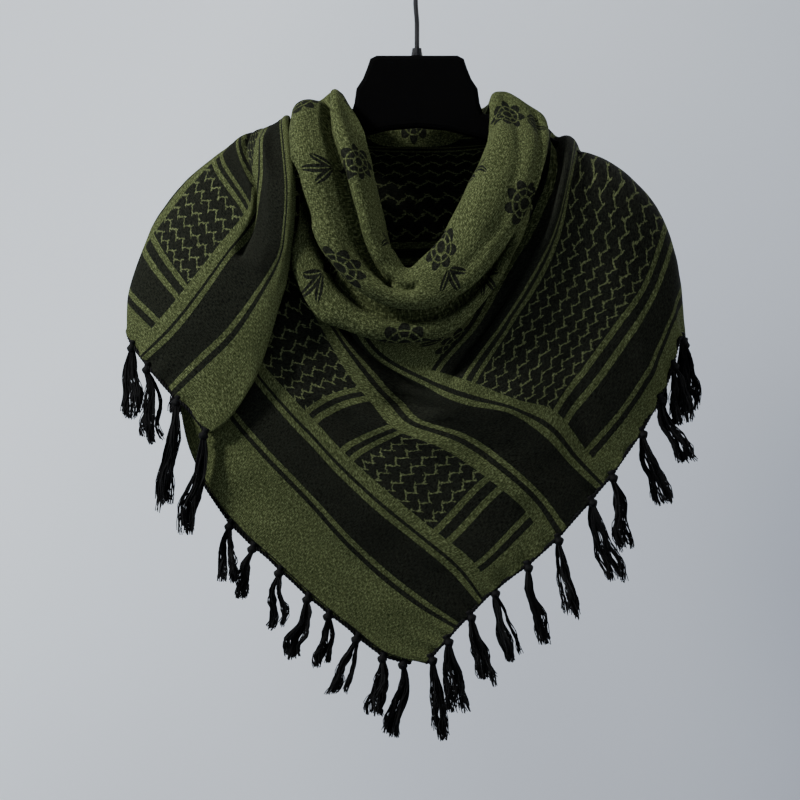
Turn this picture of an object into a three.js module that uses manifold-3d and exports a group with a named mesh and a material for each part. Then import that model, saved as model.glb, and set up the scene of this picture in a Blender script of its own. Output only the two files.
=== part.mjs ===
// A square fringed cotton scarf, folded on the diagonal and wrapped with its point down the front, on a
// flocked hanger. Millimetres, +Z up, the front faces -Y, and the origin is the hook's inner top.
import * as THREE from "three";
import Module from "manifold-3d";
import { mergeVertices } from "three/addons/utils/BufferGeometryUtils.js";

const wasm = await Module();
wasm.setup();

// Driving dimensions
const CLOTH_SIDE = 1100; // the square's cut side
const WALL = 1.8; // the cloth with its slub and folds
const PARTS = 2; // grid steps to each span of a table
const RING_COLUMNS = 10; // grid steps across the neck roll
const SEAM = 0.2; // each stretch of the cloth stops this far before its seam
const FORM_DEPTH = 52; // how far the cloth stands from the middle plane, front and back
const TURN = 150; // over this width the cloth turns round a shoulder
const VIEW_DISTANCE = 2500;
const VIEW_PLANE = -60; // the tables' sizes hold in this plane, as seen from the front
const VIEW_AXIS = { x: -16, z: -439 };
const UNDER_REACH = 3; // the lower layer shows this far past the left hem
const UNDER_WIDTH = 38;
const UNDER_GAP = 1;
const UNDER_ENDS = { tip: 12, top: 300 }; // along the hem, from the fringed right edge
const UNDER_PARTS = 16;
const KNOT = { radius: 3.6, stretch: 1.25, sides: 6, rings: 4 };
const EDGE_GAP = 0.45; // between a knot and the cloth's edge
const LOCKS = 5; // in each tassel
const LOCK = { radius: 2.1, tip: 0.6, sides: 3, spread: 6.5, shorten: 0.04 };
const ROOT = { out: 0.25, down: 0.5 }; // where a lock starts in its knot, in knot radii
const GOLDEN_ANGLE = 2.4;
const BOARD = { top: -115, thickness: 16, round: 4 };
const WIRE = 4.6;
const EYE = { radius: 22, from: -50, to: 205, parts: 12 }; // degrees from the right, turning left
const SHANK = { gap: 0.3, straight: 30, bend: 12, steps: 32 };
const FERRULE = { radius: 5.5, taper: 0.8, height: 7, sides: 12 };

const cloth = new THREE.MeshStandardMaterial({ color: 0x4b5a2d, roughness: 0.9, metalness: 0 });
const yarn = new THREE.MeshStandardMaterial({ color: 0x0c0c0e, roughness: 0.85, metalness: 0 });
const flock = new THREE.MeshStandardMaterial({ color: 0x060607, roughness: 0.95, metalness: 0 });
const steel = new THREE.MeshStandardMaterial({ color: 0x1b1b1d, roughness: 0.35, metalness: 0.9 });

const group = new THREE.Group();

function addMesh(name, geometry, material) {
  const mesh = new THREE.Mesh(geometry, material);
  mesh.name = name;
  group.add(mesh);
}

// The silhouette of both shoulders and sides, as half widths at each height
const SIDES = [
  { z: -120, left: 40, right: 40 },
  { z: -155, left: 72, right: 72 },
  { z: -176, left: 112, right: 110 },
  { z: -200, left: 166, right: 146 },
  { z: -233, left: 212, right: 196 },
  { z: -259, left: 233, right: 224 },
  { z: -300, left: 252, right: 238 },
  { z: -345, left: 266, right: 244 },
  { z: -390, left: 269, right: 245 },
  { z: -700, left: 269, right: 245 },
];

function halfWidth(x, z) {
  const side = x < 0 ? "left" : "right";
  const at = SIDES.findIndex((row) => row.z <= z);
  if (at === 0) return SIDES[0][side];
  if (at < 0) return SIDES.at(-1)[side];
  const [above, below] = [SIDES[at - 1], SIDES[at]];
  return THREE.MathUtils.mapLinear(z, above.z, below.z, above[side], below[side]);
}

// How far the form under the cloth lies from the middle plane at x, z
function formDepth(x, z) {
  const inside = THREE.MathUtils.clamp((halfWidth(x, z) - Math.abs(x)) / TURN, 0, 1);
  return FORM_DEPTH * Math.sqrt(1 - (1 - inside) ** 2);
}

// A table place: x and z as seen from the front, and the lift out from the form.
function place([x, z, lift], face) {
  const y = face * (formDepth(x, z) + lift);
  const grow = 1 + (y - VIEW_PLANE) / VIEW_DISTANCE;
  return new THREE.Vector3(
    VIEW_AXIS.x + (x - VIEW_AXIS.x) * grow,
    y,
    VIEW_AXIS.z + (z - VIEW_AXIS.z) * grow,
  );
}

// Table rows as lines of points; face is -1 in front and 1 behind
function lines(rows) {
  return rows.map((row) => row.at.map((cell) => place(cell, row.face ?? -1)));
}

// Points of the smooth surface through the lines, at each row and column place given
function surfaceGrid(net, rowsAt, columnsAt) {
  const curves = net.map((line) => new THREE.CatmullRomCurve3(line, false, "centripetal"));
  const last = net[0].length - 1;
  const columns = columnsAt.map((b) => {
    const across = curves.map((curve) => curve.getPoint(b / last));
    return new THREE.CatmullRomCurve3(across, false, "centripetal");
  });
  return rowsAt.map((a) => columns.map((curve) => curve.getPoint(a / (net.length - 1))));
}

// Even steps from one place to another, count of them
function steps(from, to, count) {
  return Array.from({ length: count + 1 }, (_, i) => from + ((to - from) * i) / count);
}

function gridNormals(grid, flip) {
  return grid.map((line, i) =>
    line.map((_, j) => {
      const down = grid[Math.min(i + 1, grid.length - 1)][j];
      const up = grid[Math.max(i - 1, 0)][j];
      const right = line[Math.min(j + 1, line.length - 1)];
      const left = line[Math.max(j - 1, 0)];
      const normal = new THREE.Vector3().crossVectors(down.clone().sub(up), right.clone().sub(left));
      return normal.normalize().multiplyScalar(flip ? -1 : 1);
    }),
  );
}

// The rows from one to another of a grid, with its normals; an end that meets the next stretch of
// the cloth is drawn back from the seam.
function strip(grid, flip, from, to, startGap, endGap) {
  const normals = gridNormals(grid, flip).slice(from, to + 1);
  const rows = grid.slice(from, to + 1).map((line) => line.map((p) => p.clone()));
  const drawBack = (end, next, gap) =>
    rows[end].forEach((p, j) => {
      const inward = rows[next][j].clone().sub(p);
      p.addScaledVector(inward.normalize(), gap);
    });
  drawBack(0, 1, startGap);
  drawBack(rows.length - 1, rows.length - 2, endGap);
  return { rows, normals };
}

// A grid round a closed ring of lines, with each span cut into PARTS
function ringOf(net, columnsAt) {
  const curves = net.map((line) => new THREE.CatmullRomCurve3(line, false, "centripetal"));
  const last = net[0].length - 1;
  const columns = columnsAt.map((b) => {
    const across = curves.map((curve) => curve.getPoint(b / last));
    return new THREE.CatmullRomCurve3(across, true, "centripetal");
  });
  const count = net.length * PARTS;
  return steps(0, 1, count).map((t) => columns.map((curve) => curve.getPoint(t % 1)));
}

// A closed wall whose outer face is the strip's rows, laid in along its normals
function wallGeometry({ rows: grid, normals }, flip) {
  const [rows, columns] = [grid.length, grid[0].length];
  const positions = [];
  grid.forEach((line) => line.forEach((p) => positions.push(p.x, p.y, p.z)));
  grid.forEach((line, i) =>
    line.forEach((p, j) => {
      const inner = p.clone().addScaledVector(normals[i][j], -WALL);
      positions.push(inner.x, inner.y, inner.z);
    }),
  );
  const under = rows * columns;
  const index = [];
  const quad = (a, b, c, d) => {
    if (flip) index.push(a, c, b, a, d, c);
    else index.push(a, b, c, a, c, d);
  };
  for (let i = 0; i < rows - 1; i++) {
    for (let j = 0; j < columns - 1; j++) {
      const a = i * columns + j;
      quad(a, a + columns, a + columns + 1, a + 1);
      quad(under + a, under + a + 1, under + a + columns + 1, under + a + columns);
    }
  }
  for (let i = 0; i < rows - 1; i++) {
    const first = i * columns;
    const last = first + columns - 1;
    quad(first, under + first, under + first + columns, first + columns);
    quad(last, last + columns, under + last + columns, under + last);
  }
  for (let j = 0; j < columns - 1; j++) {
    const last = (rows - 1) * columns + j;
    quad(j, j + 1, under + j + 1, under + j);
    quad(last, under + last, under + last + 1, last + 1);
  }
  const geometry = new THREE.BufferGeometry();
  geometry.setAttribute("position", new THREE.Float32BufferAttribute(positions, 3));
  geometry.setIndex(index);
  return geometry;
}

function toSolid(geometry) {
  const plain = geometry.clone();
  plain.deleteAttribute("normal");
  plain.deleteAttribute("uv");
  const merged = mergeVertices(plain, 1e-4);
  return new wasm.Manifold(
    new wasm.Mesh({
      numProp: 3,
      vertProperties: Float32Array.from(merged.attributes.position.array),
      triVerts: Uint32Array.from(merged.index.array),
    }),
  );
}

function toGeometry(solid) {
  const mesh = solid.getMesh();
  const geometry = new THREE.BufferGeometry();
  geometry.setAttribute("position", new THREE.BufferAttribute(mesh.vertProperties, mesh.numProp));
  geometry.setIndex(new THREE.BufferAttribute(mesh.triVerts, 1));
  return geometry;
}

// The front drape. Each row is a line at one distance in from the plain left hem, and each column
// is one distance in from the fringed right edge. A cell is x, z and the lift.
const FRONT_COLUMNS = [0, 41, 89, 140, 195, 232, 266, 330, 390];
const FRONT = [
  { u: 0, at: [[7, -681, -4], [-29, -671, -4], [-63, -645, -4], [-99, -616, -3], [-135, -582, -2],
    [-160, -560, -1], [-180, -536, -1], [-209, -485, -3], [-218, -435, -4]] },
  { u: 68, at: [[35, -649, -1], [3, -630, -1], [-32, -604, 1], [-65, -573, 2], [-99, -535, 2],
    [-123, -510, 1], [-144, -488, 0], [-180, -443, -3], [-200, -395, -5]] },
  { u: 113, at: [[56, -627, 0], [30, -598, 3], [-3, -570, 5], [-38, -542, 6], [-75, -507, 5],
    [-98, -482, 4], [-119, -460, 2], [-156, -414, 0], [-182, -366, -2]] },
  { u: 134, at: [[67, -616, 0], [52, -589, 3], [14, -558, 3], [-26, -525, 4], [-68, -487, 4],
    [-92, -461, 3], [-114, -438, 1], [-152, -393, -1], [-176, -347, -4]] },
  { u: 205, at: [[119, -574, 0], [100, -542, 4], [62, -509, 8], [24, -484, 9], [-23, -464, 5],
    [-44, -440, 1], [-64, -415, -3], [-93, -364, -6], [-118, -316, -8]] },
  { u: 267, at: [[166, -522, 0], [142, -500, 3], [117, -473, 9], [86, -452, 15], [46, -444, 17],
    [26, -437, 14], [10, -428, 10], [-41, -399, 2], [-72, -352, -4]] },
  { u: 288, at: [[176, -510, 0], [155, -484, 2], [125, -448, 6], [92, -439, 11], [54, -424, 12],
    [32, -416, 12], [13, -411, 9], [-30, -386, 4], [-58, -340, 0]] },
  { u: 340, at: [[208, -463, 1], [189, -444, 4], [156, -404, 6], [123, -389, 4], [86, -373, 6],
    [69, -368, 11], [46, -371, 4], [8, -366, 5], [-24, -336, 3]] },
  { u: 390, at: [[230, -421, 1], [214, -403, 6], [185, -364, 6], [150, -347, 5], [115, -329, 7],
    [97, -322, 15], [71, -322, -1], [38, -318, -3], [8, -306, -3]] },
  { u: 432, at: [[242, -381, 1], [232, -363, 8], [209, -329, 6], [171, -309, 7], [132, -290, 8],
    [119, -281, 18], [92, -284, -3], [62, -284, -4], [36, -282, -4]] },
];

// The stretch over the right shoulder and across the back, from the same edge and hem; it starts
// with the rows that it shares with the front.
const BACK_COLUMNS = [0, 41, 89, 140, 195, 232, 266];
const BACK = [
  ...FRONT.slice(-2).map(({ u, at }) => ({ u, at: at.slice(0, BACK_COLUMNS.length) })),
  { u: 470, at: [[246, -384, -8], [242, -335, 0], [224, -285, 4], [184, -257, 8], [142, -244, 9],
    [134, -232, 17], [108, -246, -2]] },
  { u: 488, at: [[246, -385, -20], [243, -334, -10], [226, -273, -10], [190, -228, 0], [150, -207, -16],
    [139, -195, 0], [122, -187, -12]] },
  { u: 505, face: 1, at: [[238, -386, 18], [237, -331, 14], [219, -274, 6], [181, -237, 3],
    [150, -212, 4],
    [138, -202, 5], [120, -198, -4]] },
  { u: 560, face: 1, at: [[190, -388, 10], [184, -340, 10], [170, -287, 8], [150, -242, 6],
    [128, -210, 4],
    [116, -203, 2], [104, -197, -2]] },
  { u: 620, face: 1, at: [[126, -390, 4], [118, -344, 3], [108, -292, 3], [97, -240, 4], [84, -207, 3],
    [78, -201, 2], [72, -195, 0]] },
  { u: 690, face: 1, at: [[50, -388, 12], [48, -342, 11], [43, -292, 9], [36, -240, 7], [28, -211, 4],
    [26, -203, 2], [24, -197, 0]] },
  { u: 760, face: 1, at: [[-26, -390, 4], [-25, -344, 4], [-26, -294, 4], [-26, -242, 5], [-24, -211, 4],
    [-23, -203, 2], [-22, -197, 0]] },
  { u: 830, face: 1, at: [[-104, -387, 13], [-98, -340, 12], [-92, -290, 10], [-84, -238, 8],
    [-72, -208, 4],
    [-69, -201, 2], [-66, -195, 0]] },
  { u: 880, face: 1, at: [[-168, -388, 6], [-160, -342, 5], [-148, -290, 5], [-134, -236, 5],
    [-112, -206, 3],
    [-107, -200, 0], [-100, -194, -3]] },
  { u: CLOTH_SIDE - 178, face: 1, at: [[-226, -386, 10], [-222, -336, 8], [-206, -280, 4],
    [-180, -232, 3], [-150, -202, 2],
    [-141, -197, 1], [-132, -192, 0]] },
];

// The end that hangs over the left shoulder; each row is one distance in from its own plain side,
// the first row is the back's last, and the last two columns turn in towards the neck.
const FLAP_COLUMNS = [0, 41, 89, 140, 195, 232, 266, 330, 380];
const FLAP = [
  { u: 178, face: 1, at: [...BACK.at(-1).at, [-126, -190, -1], [-121, -190, -2]] },
  { u: 155, at: [[-267, -374, 2], [-264, -334, 3], [-243, -278, 3], [-218, -243, 3], [-181, -213, 3],
    [-166, -200, 2], [-153, -193, 0], [-143, -189, -6], [-126, -189, -41]] },
  { u: 134, at: [[-258, -393, 3], [-236, -366, 7], [-210, -335, 11], [-182, -299, 12], [-154, -262, 7],
    [-152, -243, 4], [-151, -224, 3], [-143, -190, -2], [-125, -189, -41]] },
  { u: 113, at: [[-250, -404, 4], [-224, -380, 9], [-198, -347, 13], [-173, -311, 14], [-151, -281, 10],
    [-144, -255, 8], [-141, -232, 9], [-136, -187, 1], [-123, -189, -42]] },
  { u: 76, at: [[-230, -428, 5], [-203, -400, 11], [-175, -373, 17], [-147, -336, 20], [-128, -305, 21],
    [-123, -275, 22], [-122, -244, 22], [-126, -181, 3], [-119, -188, -43]] },
  { u: 48, at: [[-209, -449, 6], [-182, -428, 12], [-156, -398, 17], [-136, -354, 20], [-122, -313, 21],
    [-117, -281, 22], [-115, -247, 21], [-121, -177, 3], [-117, -187, -43]] },
  { u: 22, at: [[-193, -470, 9], [-172, -455, 11], [-148, -417, 13], [-130, -365, 16], [-118, -318, 17],
    [-113, -284, 18], [-112, -249, 17], [-118, -178, 0], [-115, -187, -44]] },
  { u: 2, at: [[-196, -466, 6], [-176, -449, 6], [-153, -414, 9], [-136, -363, 11], [-124, -316, 12],
    [-119, -283, 12], [-118, -248, 11], [-121, -181, -5], [-116, -190, -44]] },
];

// The lower fold at the neck, from the viewer's left to right; the columns run across it, down and out
const COWL_COLUMNS = ["hidden top", "upper", "crest", "lower", "edge", "tuck"];
const COWL = [
  { at: [[-91, -208, -4.5], [-96, -212, -2.5], [-100, -216, -2], [-104, -219, -1],
    [-107, -221, -2], [-108, -221, -5.5]] },
  { at: [[-88, -244, 1.5], [-96, -251, 4.5], [-103, -258, 6], [-109, -264, 6], [-112, -268, 4],
    [-113, -268, -0.5]] },
  { at: [[-80, -272, 5.5], [-90, -283, 10.5], [-99, -294, 12], [-106, -302, 11], [-111, -307, 8],
    [-111, -304, 2.5]] },
  { at: [[-66, -297, 7.5], [-76, -312, 15.5], [-86, -326, 19], [-94, -338, 18], [-99, -344, 14],
    [-99, -340, 7.5]] },
  { at: [[-48, -316, 6.5], [-56, -333, 15.5], [-64, -349, 24], [-70, -362, 24], [-75, -370, 18],
    [-76, -365, 10.5]] },
  { at: [[-28, -327, 6.5], [-32, -345, 16.5], [-36, -362, 27], [-40, -376, 27], [-42, -384, 20],
    [-43, -378, 11.5]] },
  { at: [[-8, -331, 6.5], [-7, -348, 16.5], [-6, -365, 28], [-5, -378, 28], [-4, -386, 21],
    [-4, -380, 12.5]] },
  { at: [[14, -328, 6.5], [18, -344, 16.5], [23, -359, 28], [27, -371, 28], [30, -378, 21],
    [29, -372, 12.5]] },
  { at: [[34, -312, 5.5], [40, -327, 15.5], [46, -341, 24], [50, -351, 26], [54, -357, 20],
    [52, -352, 12.5]] },
  { at: [[54, -288, 6.5], [61, -300, 14.5], [67, -312, 22], [72, -322, 23], [76, -329, 18],
    [74, -325, 11]] },
  { at: [[74, -260, 5.7], [81, -270, 12.7], [87, -280, 18.2], [91, -289, 19], [95, -295, 14],
    [93, -291, 7.5]] },
  { at: [[88, -234, 3.5], [94, -242, 8.5], [99, -249, 12], [103, -256, 13.5], [106, -261, 9.5],
    [104, -258, 4.3]] },
];

// The upper fold, a closed ring: from the left shoulder round the point of the neck to the right
// shoulder, and back behind the neck
const ROLL_COLUMNS = ["facing", "lip", "inner crest", "crease", "outer crest", "edge", "tuck"];
const ROLL = [
  { at: [[-64, -166, -24], [-69, -157, -10], [-76, -155, 2], [-88, -164, -1], [-98, -166, 3],
    [-109, -174, 4], [-107, -178, -14]] },
  { at: [[-50, -190, -10], [-62, -181, -4], [-72, -181, 5], [-87, -186, 5], [-100, -189, 9],
    [-113, -193, 7], [-110, -198, -4]] },
  { at: [[-42, -222, 6], [-51, -216, 16], [-60, -216, 24], [-77, -219, 20], [-93, -221, 25],
    [-109, -222, 18], [-105, -225, 10]] },
  { at: [[-36, -248, 8], [-45, -240, 20], [-55, -243, 29], [-71, -250, 25], [-87, -253, 31],
    [-102, -253, 23], [-98, -254, 15]] },
  { at: [[-30, -272, 9], [-38, -264, 22], [-49, -268, 33], [-65, -277, 29], [-79, -282, 36],
    [-93, -280, 28], [-90, -278, 22]] },
  { at: [[-24, -298, 9], [-31, -288, 22], [-41, -296, 35], [-54, -304, 33], [-67, -309, 40],
    [-79, -307, 32], [-77, -303, 25]] },
  { at: [[-16, -314, 10], [-20, -305, 23], [-27, -316, 36], [-36, -325, 37], [-46, -331, 42],
    [-54, -333, 34], [-52, -328, 26]] },
  { at: [[-8, -324, 10], [-8, -317, 24], [-10, -326, 36], [-14, -336, 41], [-18, -343, 42],
    [-22, -350, 34], [-20, -344, 26]] },
  { at: [[2, -316, 10], [6, -306, 23], [8, -317, 36], [10, -329, 42], [12, -340, 42],
    [13, -350, 34], [12, -344, 26]] },
  { at: [[14, -304, 9], [21, -291, 22], [26, -303, 34], [31, -315, 40], [36, -326, 41],
    [41, -336, 34], [38, -330, 26]] },
  { at: [[26, -282, 8], [34, -268, 20], [42, -279, 32], [50, -291, 38], [58, -303, 38],
    [66, -313, 31], [62, -307, 24]] },
  { at: [[40, -254, 6], [49, -241, 17], [59, -250, 28], [70, -261, 33], [81, -272, 33],
    [92, -281, 27], [87, -276, 22]] },
  { at: [[54, -226, 4], [63, -216, 13], [75, -222, 22], [87, -230, 27], [99, -239, 27],
    [110, -246, 21], [105, -243, 18]] },
  { at: [[64, -202, 2], [74, -194, 8], [86, -197, 16], [97, -202, 20], [109, -208, 21],
    [119, -213, 15], [114, -213, 9]] },
  { at: [[66, -184, -10], [77, -173, -6], [88, -172, 1], [99, -175, 5], [110, -181, 8],
    [121, -189, 6], [117, -193, -3]] },
  { at: [[66, -167, -22], [71, -157, -8], [81, -156, 4], [92, -160, 5], [104, -168, 6],
    [116, -178, 3], [114, -182, -14]] },
  { face: 1, at: [[60, -178, 2], [64, -168, 10], [74, -165, 22], [86, -171, 26], [100, -180, 28],
    [112, -198, 20], [111, -202, 11]] },
  { face: 1, at: [[34, -202, -14], [37, -184, -10], [42, -176, 0], [48, -178, 12], [54, -186, 20],
    [60, -206, 18],
    [60, -209, 12]] },
  { face: 1, at: [[-3, -206, -18], [-3, -189, -14], [-3, -180, -3], [-3, -182, 10],
    [-3, -190, 19], [-3, -212, 18],
    [-3, -215, 12]] },
  { face: 1, at: [[-40, -202, -14], [-43, -184, -10], [-48, -176, 0], [-54, -178, 12],
    [-60, -186, 20], [-66, -206, 18],
    [-66, -209, 12]] },
  { face: 1, at: [[-61, -177, 2], [-66, -167, 10], [-74, -163, 22], [-86, -169, 26], [-98, -178, 28],
    [-110, -194, 18.6], [-109, -198, 10.8]] },
];
const ROLL_FRONT_ROWS = 16;

// Where a distance falls in a list of rising or falling levels, as a row or column number
function levelAt(levels, distance) {
  const rising = levels.at(-1) > levels[0];
  const next = levels.findIndex((level) => (rising ? level >= distance : level <= distance));
  const high = next < 0 ? levels.length - 1 : Math.max(next, 1);
  return THREE.MathUtils.mapLinear(distance, levels[high - 1], levels[high], high - 1, high);
}

const frontNet = lines(FRONT);
const backNet = lines(BACK);
const flapNet = lines(FLAP);
const cowlNet = lines(COWL);
const rollNet = lines(ROLL);
const frontLevels = FRONT.map((row) => row.u);
const backLevels = BACK.map((row) => row.u);
const flapLevels = FLAP.map((row) => row.u);

// A net as a grid with each span of its table cut into PARTS
function gridOf(net) {
  const spans = net[0].length - 1;
  const rows = net.length - 1;
  return surfaceGrid(net, steps(0, rows, PARTS * rows), steps(0, spans, PARTS * spans));
}

function addSheet(name, grid, flip, from, to, startGap, endGap) {
  addMesh(name, wallGeometry(strip(grid, flip, from, to, startGap, endGap), flip), cloth);
}

const frontGrid = gridOf(frontNet);
addSheet("front_drape", frontGrid, true, 0, frontGrid.length - 1, 0, 2 * SEAM);

const backGrid = gridOf(backNet);
const shoulderRow = PARTS * 5;
const backEnd = backGrid.length - 1;
addSheet("right_shoulder", backGrid, true, PARTS, shoulderRow, 2 * SEAM, SEAM);
addSheet("back_drape", backGrid, true, shoulderRow, backEnd, SEAM, SEAM);

const flapGrid = gridOf(flapNet);
addSheet("shoulder_flap", flapGrid, true, 0, flapGrid.length - 1, SEAM, 0);

const cowlGrid = gridOf(cowlNet);
addSheet("cowl", cowlGrid, false, 0, cowlGrid.length - 1, 0, 0);

// The ring closes on itself: its first row is also its last.
const ringGrid = ringOf(rollNet, steps(0, ROLL_COLUMNS.length - 1, RING_COLUMNS));
const frontEnd = (ROLL_FRONT_ROWS - 1) * PARTS;
const ringEnd = ringGrid.length - 1;
addSheet("neck_roll", ringGrid, false, 0, frontEnd, 5 * SEAM, 2 * SEAM);
addSheet("neck_roll_back", ringGrid, false, frontEnd, ringEnd, 2 * SEAM, 2 * SEAM);

// A place between the points of a grid
function gridPoint(grid, row, column) {
  const i = Math.min(Math.floor(row), grid.length - 2);
  const j = Math.min(Math.floor(column), grid[0].length - 2);
  const upper = grid[i][j].clone().lerp(grid[i][j + 1], column - j);
  const lower = grid[i + 1][j].clone().lerp(grid[i + 1][j + 1], column - j);
  return upper.lerp(lower, row - i);
}

// A place on the first row (edge "row") or first column of a grid, with the ways out of the cloth
// and out of its face
function edgePlace(grid, edge, distance) {
  const step = 0.1;
  const point = (along, inside) =>
    edge === "row" ? gridPoint(grid, inside, along) : gridPoint(grid, along, inside);
  const at = point(distance, 0);
  const out = at.clone().sub(point(distance, step)).normalize();
  const back = Math.max(distance - step, 0);
  const along = point(back + step, 0).sub(point(back, 0)).normalize();
  const face = new THREE.Vector3().crossVectors(out, along);
  return { at, out, face: face.normalize().multiplyScalar(edge === "row" ? -1 : 1) };
}

// The lower layer's edge strip, parallel to the left hem and just behind it
function underGrid() {
  const columns = steps(
    PARTS * levelAt(FRONT_COLUMNS, UNDER_ENDS.tip),
    PARTS * levelAt(FRONT_COLUMNS, UNDER_ENDS.top),
    UNDER_PARTS,
  );
  return [-UNDER_REACH, UNDER_WIDTH / 3, UNDER_WIDTH].map((distance) =>
    columns.map((column) => {
      const { at, out, face } = edgePlace(frontGrid, "row", column);
      const inside = Math.max(distance, 0);
      const onSheet = inside ? gridPoint(frontGrid, PARTS * levelAt(frontLevels, inside), column) : at;
      const behind = onSheet.clone().addScaledVector(face, -WALL - UNDER_GAP);
      return behind.addScaledVector(out, inside - distance);
    }),
  );
}
const underRows = underGrid();
addSheet("under_layer", underRows, true, 0, underRows.length - 1, 0, 0);

// Tassels. One lock is a tapered prism along a straight line.
function lockGeometry(root, tip) {
  const positions = [];
  const index = [];
  [root, tip].forEach((centre, end) => {
    const radius = LOCK.radius * (end ? LOCK.tip : 1);
    for (let k = 0; k < LOCK.sides; k++) {
      const angle = (2 * Math.PI * k) / LOCK.sides;
      positions.push(centre.x + radius * Math.cos(angle), centre.y + radius * Math.sin(angle), centre.z);
    }
  });
  for (let k = 0; k < LOCK.sides; k++) {
    const next = (k + 1) % LOCK.sides;
    index.push(k, k + LOCK.sides, next, next, k + LOCK.sides, next + LOCK.sides);
  }
  index.push(0, 1, 2, LOCK.sides, LOCK.sides + 2, LOCK.sides + 1);
  const geometry = new THREE.BufferGeometry();
  geometry.setAttribute("position", new THREE.Float32BufferAttribute(positions, 3));
  geometry.setIndex(index);
  return geometry;
}

// A tassel with its knot just outside the edge; the swing is how far its end hangs to the side, and
// the lean how far it hangs to the front or back
function tassel(name, { at, out, face }, { swing, length, lean = 0, gap = EDGE_GAP }, turn) {
  const reachUp = KNOT.radius * Math.hypot(out.x, out.y, out.z * KNOT.stretch);
  const centre = at.clone().addScaledVector(face, -WALL / 2).addScaledVector(out, reachUp + gap);
  const knot = new THREE.SphereGeometry(KNOT.radius, KNOT.sides, KNOT.rings);
  knot.rotateX(Math.PI / 2).scale(1, 1, KNOT.stretch).translate(centre.x, centre.y, centre.z);
  let solid = toSolid(knot);
  for (let k = 0; k < LOCKS; k++) {
    const angle = turn + k * GOLDEN_ANGLE;
    const apart = new THREE.Vector3(Math.cos(angle), Math.sin(angle), 0);
    const root = centre.clone().addScaledVector(apart, KNOT.radius * ROOT.out);
    root.z -= KNOT.radius * ROOT.down;
    const drop = length * (1 - LOCK.shorten * (k % 3));
    const tip = centre.clone().add(new THREE.Vector3(swing, lean, -drop));
    tip.addScaledVector(apart, LOCK.spread * Math.sqrt((k + 0.6) / LOCKS));
    solid = solid.add(toSolid(lockGeometry(root, tip)));
  }
  addMesh(name, toGeometry(solid), yarn);
}

// The fringed right edge, from the point upwards: u is the distance from the plain hem
const RIGHT_TASSELS = [
  { u: 8, swing: 6, length: 68, gap: 0.65 },
  { u: 44, swing: 8, length: 60 },
  { u: 92, swing: 15, length: 57 },
  { u: 140, swing: 18, length: 58 },
  { u: 181, swing: 16, length: 65 },
  { u: 216, swing: 13, length: 66 },
  { u: 254, swing: 21, length: 67 },
  { u: 292, swing: 15, length: 62 },
  { u: 335, swing: 21, length: 61 },
  { u: 371, swing: 23, length: 55 },
  { u: 404, swing: 9, length: 50 },
];
// Behind, from the right shoulder to the left
const BACK_TASSELS = [
  { u: 445, swing: 7, length: 58, gap: 0.9 },
  { u: 478, swing: 3, length: 62 },
  { u: 515, swing: -4, length: 60 },
  { u: 552, swing: 3, length: 64 },
  { u: 589, swing: -3, length: 61 },
  { u: 626, swing: 5, length: 63 },
  { u: 663, swing: -2, length: 60 },
  { u: 700, swing: 4, length: 65 },
  { u: 737, swing: -5, length: 61 },
  { u: 774, swing: 2, length: 63 },
  { u: 811, swing: -4, length: 62 },
  { u: 848, swing: 4, length: 60 },
  { u: 885, swing: -3, length: 64 },
  { u: 915, swing: -5, length: 61 },
];
// The flap's fringed edge; u is the distance from its own plain side
const FLAP_TASSELS = [
  { u: 140, swing: -2, length: 61, lean: -3 },
  { u: 106, swing: 10, length: 64, lean: -5 },
  { u: 62, swing: -8, length: 94, lean: -4 },
  { u: 26, swing: -12, length: 86, lean: -8, gap: 0.65 },
];
// Under the left hem, from the point upwards; v is the distance from the fringed right edge
const HEM_TASSELS = [
  { v: 18, swing: -13, length: 64 },
  { v: 40, swing: -9, length: 49 },
  { v: 74, swing: -15, length: 46 },
  { v: 111, swing: -9, length: 43 },
  { v: 138, swing: -9, length: 51 },
  { v: 177, swing: -8, length: 48 },
  { v: 214, swing: -10, length: 42 },
  { v: 248, swing: -2, length: 47 },
];

function number(i) {
  return String(i + 1).padStart(2, "0");
}

function addFringe(side, rows, placeOf) {
  rows.forEach((row, i) => tassel(`tassel_${side}_${number(i)}`, placeOf(row), row, i));
}
function fringedEdge(grid, levels) {
  return ({ u }) => edgePlace(grid, "column", PARTS * levelAt(levels, u));
}
addFringe("right", RIGHT_TASSELS, fringedEdge(frontGrid, frontLevels));
addFringe("back", BACK_TASSELS, fringedEdge(backGrid, backLevels));
addFringe("flap", FLAP_TASSELS, fringedEdge(flapGrid, flapLevels));
addFringe("hem", HEM_TASSELS, ({ v }) => {
  const along = THREE.MathUtils.mapLinear(v, UNDER_ENDS.tip, UNDER_ENDS.top, 0, UNDER_PARTS);
  return edgePlace(underRows, "row", along);
});

// The hanger: a flocked board with a broad neck plate and two sloping arms
const HALF_OUTLINE = [
  { x: 38, z: BOARD.top },
  { x: 44, z: -118 },
  { x: 47, z: -127 },
  { x: 51, z: -137 },
  { x: 57, z: -146 },
  { x: 59, z: -160 },
  { x: 62, z: -169 },
  { x: 88, z: -176 },
  { x: 112, z: -185 },
  { x: 150, z: -203.4 },
  { x: 184, z: -225.4 },
  { x: 192, z: -234 },
  { x: 191, z: -243 },
  { x: 182, z: -246 },
  { x: 150, z: -229 },
  { x: 110, z: -209 },
  { x: 70, z: -196 },
  { x: 55, z: -192 },
  { x: 28, z: -185 },
  { x: 0, z: -182.5 },
];

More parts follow.
